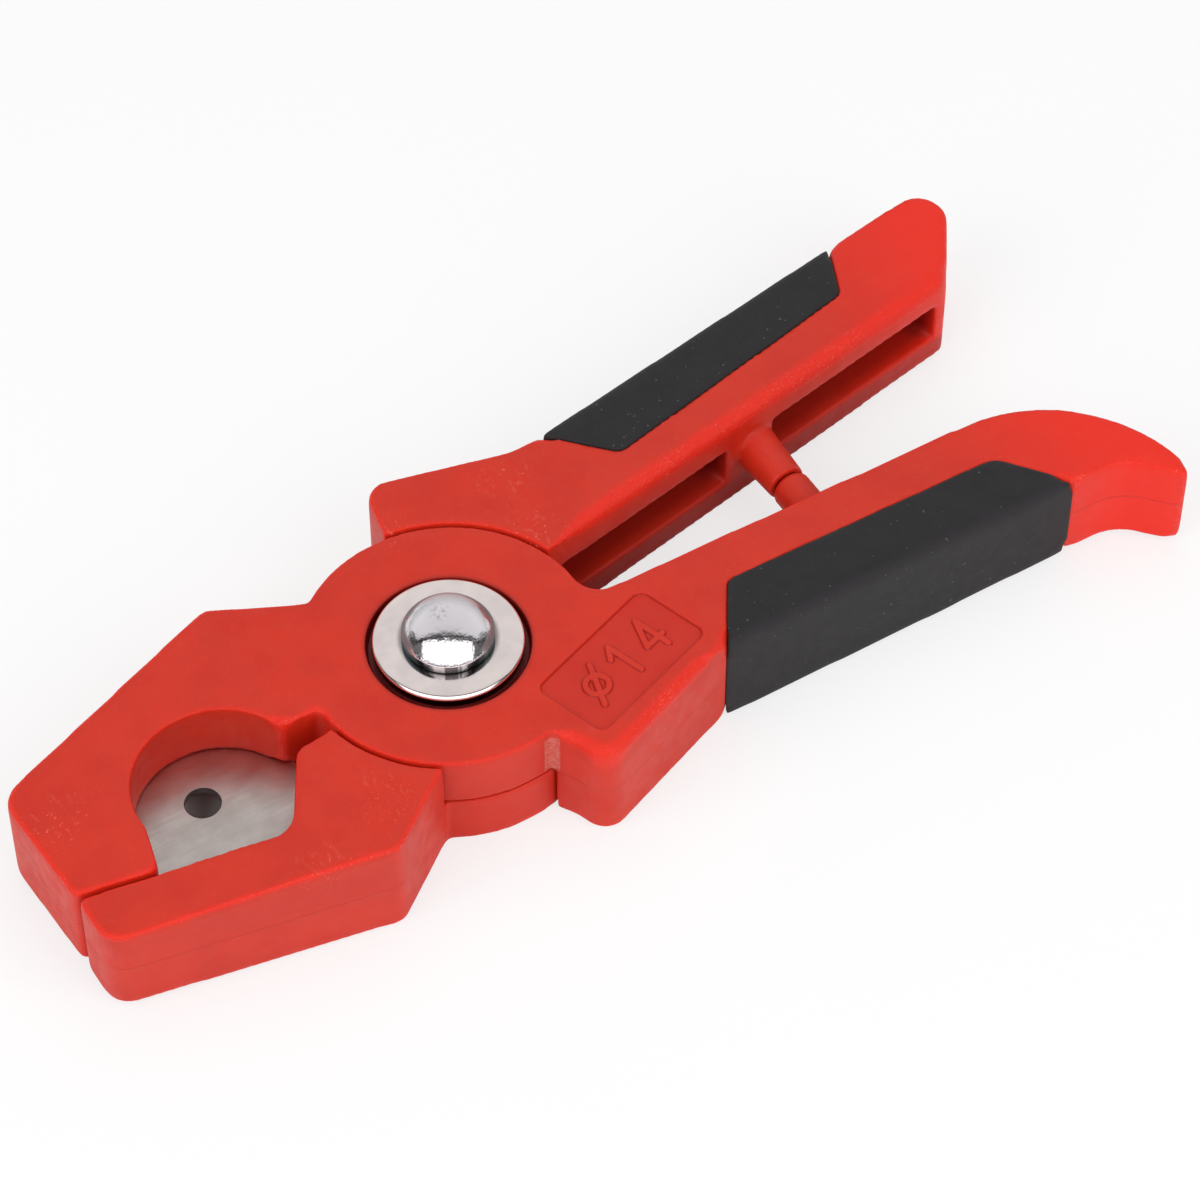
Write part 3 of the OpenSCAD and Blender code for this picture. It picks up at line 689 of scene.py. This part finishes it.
class Paint(Wiring):
    """A material's node tree. Textures are placed in millimetres from the object's own origin."""

    def __init__(self, name):
        self.material = bpy.data.materials.new(name)
        self.material.use_nodes = True
        super().__init__(self.material.node_tree)
        self.surface = self.tree.nodes["Principled BSDF"]
        corner = self.new("TexCoord").outputs["Object"]
        self.place = self.vector("SCALE", corner, scale=1 / MM)

    def part(self, vector, axis):
        split = self.new("SeparateXYZ")
        self.feed(split.inputs[0], vector)
        return split.outputs[axis]

    def from_axis(self):
        """Distance from the pivot's axis"""
        return self.vector("LENGTH", self.vector("MULTIPLY", self.place, (1, 1, 0)), output="Value")

    def normal(self, axis):
        return self.part(self.new("NewGeometry").outputs["Normal"], axis)

    def attribute(self, name):
        made = self.new("Attribute")
        made.attribute_name = name
        return made.outputs["Fac"]

    def noise(self, scale, detail=2, stretch=(1, 1, 1), turn=0):
        """Noise with about this many cells to a millimetre, drawn out by the stretch"""
        mapping = self.new("Mapping")
        mapping.inputs["Rotation"].default_value = (0, 0, turn)
        mapping.inputs["Scale"].default_value = stretch
        self.feed(mapping.inputs["Vector"], self.place)
        made = self.new("TexNoise")
        made.inputs["Scale"].default_value = scale
        made.inputs["Detail"].default_value = detail
        self.feed(made.inputs["Vector"], mapping.outputs[0])
        return made.outputs["Fac"]

    def near(self, centre, reach):
        """1 round a place on the object, 0 from the reach on"""
        distance = self.vector("DISTANCE", self.place, centre, output="Value")
        return self.band(distance, reach * 0.3, reach, 1, 0)

    def mix(self, share, first, second):
        """The first of two colours at 0, and the second at 1"""
        made = self.new("Mix")
        made.data_type = "RGBA"
        self.feed(made.inputs[0], share)
        self.feed(made.inputs[6], first)
        self.feed(made.inputs[7], second)
        return made.outputs[2]

    def bump(self, height, depth):
        """Adds a relief: the height socket runs from 0 to 1, the depth is in millimetres"""
        made = self.new("Bump")
        made.inputs["Distance"].default_value = depth * MM
        self.feed(made.inputs["Height"], height)
        normal = self.surface.inputs["Normal"]
        if normal.is_linked:
            self.feed(made.inputs["Normal"], normal.links[0].from_socket)
        self.feed(normal, made.outputs[0])


# Reds of the flat faces, of the clouds and the painted shade in hollows, of the painted highlight
# on the rims, and of the handles' tips
FACE_RED = (0.62, 0.027, 0.009, 1)
DARK_RED_AND_SHADE = (0.50, 0.016, 0.008, 1)
RIM_HIGHLIGHT_RED = (0.80, 0.020, 0.007, 1)
TIP_RED = (0.87, 0.019, 0.005, 1)
# Rubbed plastic that also gives the painted glints on the rims, the gate's stub, and painted shade
# for the channels, the label's walls and the ring round the washer
RUBBED_AND_GLINT_RED = (0.90, 0.24, 0.17, 1)
GATE_PINK = (0.68, 0.24, 0.19, 1)
PAINTED_SHADE_BROWN = (0.22, 0.008, 0.006, 1)
RING_SHADE_BROWN = (0.17, 0.008, 0.008, 1)

# Along the handles, where the brighter red of the tips starts and is full
TIPS = (55, 80)
# How rubbed the plastic is in general, and the places where it is rubbed fully: centre and reach
RUBBED_ALL_OVER = 0.12
RUBS = [((17, 17, 13.5), 5), ((16, 8, 13), 5), ((2.5, 16.5, 13.5), 4), ((16, -19, 9), 6),
        ((-16, -14, 13), 5), ((-46, 2, 12), 5), ((-26, -19, 13), 5)]
# Stub of the moulding gate in the notch beside the block: place, half its width, and how far below
# the top face it ends
GATE_PLACE = (3, -16.1)
GATE_HALF = 0.75
GATE_TOP = 1.2
# Half the width of the seam where the mould's halves met: its dark middle, and its soft edge
SEAM = (0.04, 0.12)


def red_plastic():
    """Moulded plastic with clouds, brighter tips, a painted highlight and glints on the rims,
    painted shade in hollows, in the label, round the washer and in the channels, rubbed places, a
    seam and a gate's stub
    """
    paint = Paint("red_plastic")
    surface = paint.surface
    edge = paint.attribute("edge")
    cloud = paint.noise(0.16, 4)
    grain = paint.noise(4.5, 3)
    height = paint.part(paint.place, 2)
    upright = paint.band(paint.math("ABSOLUTE", paint.normal(2)), 0.3, 0.6, 1, 0)

    # Clouds on the faces, the brighter tips, a painted highlight on the rims and painted shade in
    # the hollows
    colour = paint.mix(paint.band(cloud, 0.35, 0.7, 0, 0.4), FACE_RED, DARK_RED_AND_SHADE)
    along = paint.part(paint.place, 0)
    colour = paint.mix(paint.band(along, *TIPS, 0, 0.85), colour, TIP_RED)
    colour = paint.mix(paint.band(edge, 0.04, 0.5, 0, 0.75), colour, RIM_HIGHLIGHT_RED)
    colour = paint.mix(paint.band(edge, -0.35, -0.03, 0.6, 0), colour, DARK_RED_AND_SHADE)

    # Streaks and specks where the faces are rubbed, and painted glints along the rims
    rubbed = RUBBED_ALL_OVER
    for centre, reach in RUBS:
        rubbed = paint.most(rubbed, paint.near(centre, reach))
    streak = paint.band(paint.noise(1.6, 6, (1, 0.45, 1), 0.9), 0.57, 0.72)
    rim = paint.band(edge, 0.1, 0.5)
    specks = paint.band(paint.noise(2.6, 1), 0.66, 0.76)
    pale = paint.both(rubbed, paint.most(paint.both(streak, 0.4), specks))
    glints = paint.both(rim, paint.band(paint.noise(3.6, 2), 0.60, 0.72))
    glints = paint.both(glints, paint.band(paint.noise(0.2, 2), 0.42, 0.62, 0.15, 0.9))
    colour = paint.mix(paint.both(paint.most(pale, glints), 0.45), colour, RUBBED_AND_GLINT_RED)

    # Painted shade on the label's floor and walls, in the ring round the washer and on the recess's
    # lip, and in the channels
    sunk = paint.attribute("sunk")
    label = paint.band(sunk, LABEL_DEPTH * 0.4, LABEL_DEPTH * 0.7, 0, 0.4)
    colour = paint.mix(label, colour, DARK_RED_AND_SHADE)
    wall = paint.both(paint.band(sunk, LABEL_DEPTH * 0.35, LABEL_DEPTH * 0.5),
                      paint.band(sunk, LABEL_DEPTH * 0.8, LABEL_DEPTH * 0.97, 1, 0))
    colour = paint.mix(paint.both(wall, 0.6), colour, PAINTED_SHADE_BROWN)
    from_axis = paint.from_axis()
    lip = paint.both(paint.band(from_axis, RECESS_R, RECESS_R + 0.7, 0.55, 0),
                     paint.band(height, THICKNESS - 0.5, THICKNESS - 0.3))
    ring = paint.both(paint.band(from_axis, RECESS_R + 0.2, RECESS_R + 0.5, 1, 0),
                      paint.band(sunk, 0.05, 0.5))
    colour = paint.mix(paint.most(lip, ring), colour, RING_SHADE_BROWN)
    colour = paint.mix(paint.both(paint.attribute("deep"), 0.8), colour, PAINTED_SHADE_BROWN)

    # The mould's seam round the sides
    seam = paint.band(paint.math("ABSOLUTE", paint.math("SUBTRACT", height, MID_Z)), *SEAM, 1, 0)
    seam = paint.both(seam, upright)
    colour = paint.mix(paint.both(seam, 0.45), colour, DARK_RED_AND_SHADE)

    # The gate's stub
    gate = paint.vector("SUBTRACT", paint.place, (*GATE_PLACE, 0))
    gate = paint.vector("MULTIPLY", gate, (1, 1, 0))
    gate = paint.vector("LENGTH", gate, output="Value")
    gate = paint.band(gate, GATE_HALF, GATE_HALF * 1.25, 1, 0)
    gate = paint.both(gate, paint.band(height, MID_Z, MID_Z + 0.3))
    top = THICKNESS - GATE_TOP
    gate = paint.both(gate, paint.band(height, top, top + 0.4, 1, 0))
    flecks = paint.band(paint.noise(2.4, 3), 0.42, 0.66, 0.3, 0.75)
    colour = paint.mix(paint.both(gate, flecks), colour, GATE_PINK)
    paint.feed(surface.inputs["Base Color"], colour)

    rough = paint.band(paint.noise(0.5, 3), 0.3, 0.7, 0.38, 0.5)
    rough = paint.math("ADD", rough, paint.both(pale, 0.2))
    paint.feed(surface.inputs["Roughness"], rough)
    surface.inputs["Specular IOR Level"].default_value = 0.36
    surface.inputs["Subsurface Weight"].default_value = 0.12
    surface.inputs["Subsurface Radius"].default_value = (1, 0.12, 0.06)
    surface.inputs["Subsurface Scale"].default_value = 0.8 * MM

    paint.bump(grain, 0.012)
    paint.bump(paint.both(rim, paint.noise(3.6, 3)), 0.12)
    paint.bump(paint.both(rubbed, streak), 0.03)
    paint.bump(seam, 0.05)
    paint.bump(paint.both(gate, paint.noise(2.2, 3)), 0.25)
    return paint.material


GRIP_BLACK = (0.014, 0.013, 0.014, 1)
GRIP_GREY = (0.021, 0.019, 0.021, 1)
GRIP_DUST = (0.16, 0.155, 0.16, 1)


def soft_grip():
    """Soft black rubber with cloudy tone, rims greyed as a painted highlight, and a little dust"""
    paint = Paint("soft_grip")
    surface = paint.surface
    colour = paint.mix(paint.band(paint.noise(0.3, 3), 0.3, 0.7, 0.2, 0.6), GRIP_BLACK, GRIP_GREY)
    # Painted highlight along the rims
    colour = paint.mix(paint.band(paint.attribute("edge"), 0.05, 0.5, 0, 0.5), colour, GRIP_GREY)
    dust = paint.band(paint.noise(2.1, 1), 0.72, 0.8, 0, 0.5)
    colour = paint.mix(dust, colour, GRIP_DUST)
    paint.feed(surface.inputs["Base Color"], colour)
    paint.feed(surface.inputs["Roughness"], paint.band(paint.noise(0.8, 3), 0.3, 0.7, 0.64, 0.70))
    surface.inputs["Specular IOR Level"].default_value = 0.28
    surface.inputs["Sheen Weight"].default_value = 0.06
    surface.inputs["Sheen Roughness"].default_value = 0.5
    paint.bump(paint.noise(5, 3), 0.015)
    paint.bump(paint.noise(0.7, 2), 0.012)
    return paint.material


# Painted shade where two pieces of metal meet
CONTACT_SHADE = (0.05, 0.045, 0.045, 1)
# How far and how strongly it shows round a piece that sits on another
CONTACT_SHADE_SPREAD = 0.7
CONTACT_SHADE_SHARE = 0.7
# Share of the dark tone in the brushed lines, and how the roughness varies with them
LINE_SHARE = 0.15
ROUGH_RANGE = (0.85, 1.2)


def steel(name, light, dark, rough, scratch, turn=0, brushed=(1, 1, 1), contact_shade=0):
    """Worked steel with cloudy tone and fine scratches, brushed one way where these are drawn out.
    The last argument is the radius of a ring of painted shade about the pivot, where another piece
    sits on this one, and with it the side of the top washer gets painted shade as well."""
    paint = Paint(name)
    surface = paint.surface
    lines = paint.noise(2.2, 5, brushed, turn)
    colour = paint.mix(paint.band(paint.noise(0.35, 4), 0.3, 0.7), light, dark)
    colour = paint.mix(paint.band(lines, 0.35, 0.7, 0, LINE_SHARE), colour, dark)
    # Painted shade round the piece that sits on this one, and on the top washer's side
    if contact_shade:
        ring = paint.band(paint.from_axis(), contact_shade, contact_shade + CONTACT_SHADE_SPREAD, CONTACT_SHADE_SHARE, 0)
        colour = paint.mix(ring, colour, CONTACT_SHADE)
        height = paint.part(paint.place, 2)
        side = paint.both(paint.band(height, THICKNESS + 0.15, THICKNESS + 0.55, 0.92, 0),
                          paint.band(height, TOP_WASHER_Z - 0.4, TOP_WASHER_Z - 0.2))
        colour = paint.mix(side, colour, CONTACT_SHADE)
    paint.feed(surface.inputs["Base Color"], colour)
    surface.inputs["Metallic"].default_value = 1
    least, most = ROUGH_RANGE
    rough = paint.band(lines, 0.3, 0.7, rough * least, rough * most)
    paint.feed(surface.inputs["Roughness"], rough)
    paint.bump(lines, scratch)
    return paint.material


CHROME = (0.84, 0.80, 0.83, 1)
CHROME_AT_GRAZE = (0.55, 0.70, 0.72, 1)
SCUFFED_CHROME = (0.52, 0.51, 0.52, 1)
# Painted dark reflections on the band below the dome and round its rim, and painted shadow at the
# head's foot
BAND_REFLECTION_GREY = (0.045, 0.038, 0.042, 1)
RIM_REFLECTION_GREY = (0.22, 0.26, 0.27, 1)
FOOT_SHADOW_BLACK = (0.02, 0.016, 0.018, 1)
# The scuffed patch on the crown: place and reach
SCUFF_PLACE = (-0.7, 0.6, HEAD_TOP)
SCUFF_REACH = 1.5
# The side on which the rivet's dome has lost its polish
WORN_SIDE = (0.53, 0.848)
# Roughness of the dome, of its flat crown, of the worn side and of the tail
DOME_ROUGH = 0.07
CROWN_ROUGH = 0.26
WORN_ROUGH = 0.46
TAIL_ROUGH = 0.28


def rivet_chrome():
    """Polished chrome with a faintly scuffed crown, one worn side, a painted dark reflection on the
    band below the dome and round its rim, and a painted shadow where the head meets the washer"""
    paint = Paint("rivet_chrome")
    surface = paint.surface
    height = paint.part(paint.place, 2)
    crown = paint.band(height, HEAD_TOP - 0.75, HEAD_TOP - 0.35)
    head = paint.band(height, HEAD_Z - 0.2, HEAD_Z - 0.1)
    patches = paint.band(paint.noise(2.2, 4), 0.42, 0.68)
    scuff = paint.both(paint.near(SCUFF_PLACE, SCUFF_REACH), patches)
    colour = paint.mix(scuff, CHROME, SCUFFED_CHROME)

    # Painted dark reflection on the band below the dome, and painted shadow where the head meets
    # the washer
    band = paint.band(height, HEAD_Z + BAND_H - 0.12, HEAD_Z + BAND_H - 0.04, 1, 0)
    streaks = paint.band(paint.noise(0.9, 2, (1, 1, 0.1)), 0.5, 0.62, 0.93, 0.5)
    colour = paint.mix(paint.both(paint.both(band, head), streaks), colour, BAND_REFLECTION_GREY)
    foot = paint.both(paint.band(height, HEAD_Z + 0.05, HEAD_Z + 0.3, 1, 0), head)
    colour = paint.mix(paint.both(foot, 0.9), colour, FOOT_SHADOW_BLACK)

    # Painted dark reflection round the rim, wider towards the worn side
    back = paint.vector("DOT_PRODUCT", paint.place, (*WORN_SIDE, 0), output="Value")
    from_axis = paint.from_axis()
    rim = paint.band(from_axis, HEAD_R - 0.7, HEAD_R - 0.3)
    rim = paint.both(rim, paint.band(back, -3.8, -2.2))
    rear = paint.band(from_axis, HEAD_R - 1.4, HEAD_R - 0.7)
    rear = paint.both(rear, paint.band(back, 0.4, 1.4))
    rim = paint.both(paint.most(rim, rear), head)
    colour = paint.mix(paint.both(rim, 0.75), colour, RIM_REFLECTION_GREY)
    paint.feed(surface.inputs["Base Color"], colour)
    surface.inputs["Metallic"].default_value = 1
    surface.inputs["Specular Tint"].default_value = CHROME_AT_GRAZE

    worn = paint.both(paint.most(paint.band(back, 0.8, 2.8), rim), head)
    rough = paint.band(crown, 0, 1, DOME_ROUGH, CROWN_ROUGH)
    rough = paint.most(rough, paint.both(worn, WORN_ROUGH))
    rough = paint.most(rough, paint.band(height, HEAD_Z - 0.2, HEAD_Z - 0.1, TAIL_ROUGH, 0))
    paint.feed(surface.inputs["Roughness"], paint.math("ADD", rough, paint.both(scuff, 0.12)))
    paint.bump(scuff, 0.006)
    paint.bump(paint.noise(2.2, 5), 0.030)
    return paint.material


# Camera: the photograph's viewing angle
CAMERA_AIM = Vector((22.24, 5.13, 0.5)) * MM
CAMERA_BACK = Vector((-0.3305, -0.5289, 0.7816)).normalized()
CAMERA_RIGHT = Vector((0.848, -0.530, 0)).normalized()
CAMERA_REACH = 501 * MM
CAMERA_LENS = 135.27
CAMERA_SENSOR = 36
CAMERA_CLIP = (0.01, 20)


def place_camera():
    camera = bpy.data.cameras.new("camera")
    camera.sensor_width = CAMERA_SENSOR
    camera.lens = CAMERA_LENS
    camera.clip_start, camera.clip_end = CAMERA_CLIP
    obj = link(bpy.data.objects.new("camera", camera))
    up = CAMERA_BACK.cross(CAMERA_RIGHT)
    turn = Matrix((CAMERA_RIGHT, up, CAMERA_BACK)).transposed().to_4x4()
    turn.translation = CAMERA_AIM + CAMERA_BACK * CAMERA_REACH
    obj.matrix_world = turn
    bpy.context.scene.camera = obj


# Soft lights: name, azimuth and elevation in degrees, and watts
LIGHTS = [("left", 188, 38, 1.6), ("right", 288, 38, 1.7), ("back", 58, 65, 0.6)]
SOFTBOX_SIZE = 0.55
SOFTBOX_REACH = 0.6


def soft_light(name, azimuth, elevation, power):
    """A round softbox, turned to the object. Reflections come from the world's own pattern."""
    lamp = bpy.data.lights.new(name, "AREA")
    lamp.shape = "DISK"
    lamp.size = SOFTBOX_SIZE
    lamp.energy = power
    obj = link(bpy.data.objects.new(name, lamp))
    azimuth, elevation = math.radians(azimuth), math.radians(elevation)
    flat = math.cos(elevation)
    away = Vector((flat * math.cos(azimuth), flat * math.sin(azimuth), math.sin(elevation)))
    obj.location = CAMERA_AIM + away * SOFTBOX_REACH
    obj.rotation_euler = away.to_track_quat("Z", "Y").to_euler()
    obj.visible_glossy = False


# What polished steel sees, from the camera side's horizon (0) over the top to the far horizon
# (180): degrees and brightness
ROOM = [(0, 0.10), (5, 0.15), (10, 1.0), (61, 1.0), (65, 0.04), (77, 0.05), (83, 0.42),
        (150, 0.48), (180, 0.36)]
ROOM_PEAK = 1.7
# The bright part in front, up to LAMP_TOP degrees, fades between the two LAMP_SIDE shares of a
# ray's direction that go sideways. The rest of the room is wider by ROOM_WIDER. Beyond, the level
# is ROOM_SIDE. Rays that neither the camera nor a reflection sends out see FILL_LEVEL.
LAMP_TOP = 80
LAMP_SIDE = (0.78, 0.86)
ROOM_WIDER = 0.12
ROOM_SIDE = 0.10
FILL_LEVEL = 0.42
# Share of plain white in what the camera sees of the floor, where the rest keeps the shadow
FLOOR_WHITE = 0.7
FLOOR_HALF = 1.5
FLOOR_TONES = (0.93, 0.93, 0.93, 1), (0.95, 0.95, 0.95, 1)
# The floor lies this far below the part, so that the two never share a plane
FLOOR_DROP = 0.02 * MM
# Width over which the white fades in round the mouth, which shows the bare floor in shade
MOUTH_FADE = 6


def studio_world():
    """Even light, a striped room for reflections, and white behind the object"""
    world = bpy.data.worlds.new("studio")
    bpy.context.scene.world = world
    world.use_nodes = True
    sky = Wiring(world.node_tree)
    direction = sky.new("TexCoord").outputs["Generated"]
    path = sky.new("LightPath").outputs

    def along(axis):
        return sky.vector("DOT_PRODUCT", direction, axis, output="Value")

    def background(strength):
        made = sky.new("Background")
        made.inputs["Color"].default_value = (1, 1, 1, 1)
        sky.feed(made.inputs["Strength"], strength)
        return made.outputs[0]

    front = along(Vector((CAMERA_BACK.x, CAMERA_BACK.y, 0)).normalized())
    round_over = sky.math("ARCTAN2", along((0, 0, 1)), front)
    stripes = sky.new("ValToRGB")
    sky.feed(stripes.inputs[0], sky.math("DIVIDE", round_over, math.pi))
    stops = stripes.color_ramp.elements
    while len(stops) < len(ROOM):
        stops.new(0.5)
    for stop, (degrees, level) in zip(stops, ROOM):
        stop.position = degrees / 180
        stop.color = (level, level, level, 1)

    above = sky.math("GREATER_THAN", round_over, math.radians(LAMP_TOP))
    sideways = sky.math("ABSOLUTE", along(CAMERA_RIGHT))
    sideways = sky.math("SUBTRACT", sideways, sky.both(above, ROOM_WIDER))
    side = sky.band(sideways, *LAMP_SIDE, 1, ROOM_SIDE)
    room = sky.both(sky.both(stripes.outputs["Color"], side), ROOM_PEAK)
    glossy = sky.choice(path["Is Glossy Ray"], background(FILL_LEVEL), background(room))
    seen = sky.choice(path["Is Camera Ray"], glossy, background(1))
    sky.feed(sky.tree.nodes["World Output"].inputs["Surface"], seen)


def floor():
    """A pale floor, white to the camera except for the shadows on it"""
    mesh = bpy.data.meshes.new("floor")
    half = FLOOR_HALF
    corners = [(-half, -half), (half, -half), (half, half), (-half, half)]
    mesh.from_pydata([(x, y, -FLOOR_DROP) for x, y in corners], [], [(0, 1, 2, 3)])
    paint = Paint("floor")
    tone = paint.mix(paint.noise(0.02, 2), *FLOOR_TONES)
    paint.feed(paint.surface.inputs["Base Color"], tone)
    paint.surface.inputs["Roughness"].default_value = 0.9
    away = paint.vector("DISTANCE", paint.place, (*MOUTH_CENTRE, 0), output="Value")
    share = paint.band(away, MOUTH_R, MOUTH_R + MOUTH_FADE, 0, FLOOR_WHITE)
    seen = paint.new("LightPath").outputs["Is Camera Ray"]
    white = paint.new("Emission").outputs[0]
    shown = paint.choice(paint.both(seen, share), paint.surface.outputs[0], white)
    paint.feed(paint.tree.nodes["Material Output"].inputs["Surface"], shown)
    mesh.materials.append(paint.material)
    link(bpy.data.objects.new("floor", mesh))


place_camera()
studio_world()
floor()
for light in LIGHTS:
    soft_light(*light)

plastic = red_plastic()
moulding("blade_lever", "blade_side", blade_lever_radius, plastic, sunk=True)
moulding("anvil_lever", "anvil_side", anvil_lever_radius, plastic)

rubber = soft_grip()
moulding("blade_lever_grip", "blade_side", grip_radius(near_outside), rubber,
         GRIP_VOXEL)
moulding("anvil_lever_grip", "anvil_side", grip_radius(far_outside), rubber,
         GRIP_VOXEL)

blade_steel = steel("blade_steel", (0.62, 0.57, 0.54, 1), (0.53, 0.48, 0.45, 1), rough=0.36,
                    scratch=0.0004, turn=math.radians(-50), brushed=(0.15, 2.5, 1))
flat_steel("blade", blade_steel, BLADE_EDGE)

washer_steel = steel("washer_steel", (0.92, 0.82, 0.79, 1), (0.81, 0.72, 0.70, 1), rough=0.13,
                     scratch=0.002, turn=0.4, brushed=(0.3, 1, 1), contact_shade=HEAD_R)
top_rows = ring_rows(WASHER_R, TOP_WASHER_Z, HEAD_Z, low_edge=0.15, top_edge=0.6)
bottom_rows = ring_rows(WASHER_R, TAIL_H, SLEEVE_Z, low_edge=0.3, top_edge=0.15)
turned("top_washer", top_rows, washer_steel)
turned("bottom_washer", bottom_rows, washer_steel)
turned("pivot_rivet", rivet_rows(), rivet_chrome())

screw_steel = steel("screw_steel", (0.62, 0.62, 0.61, 1), (0.50, 0.50, 0.49, 1), rough=0.3,
                    scratch=0.01)
sleeve_rows = ring_rows(SLEEVE_R, SLEEVE_Z, TOP_WASHER_Z, low_edge=0.1, top_edge=0.1)
turned("pivot_sleeve", sleeve_rows, screw_steel)
for end in ("front", "rear"):
    moulding("blade_screw_" + end, "blade_side", screw_radius, screw_steel,
             SCREW_VOXEL)

spring_steel = steel("spring_steel", (0.50, 0.49, 0.47, 1), (0.40, 0.39, 0.38, 1), rough=0.32,
                     scratch=0.01)
drawn_wire("opening_spring", spring_steel)

bpy.context.scene.view_settings.view_transform = "Standard"
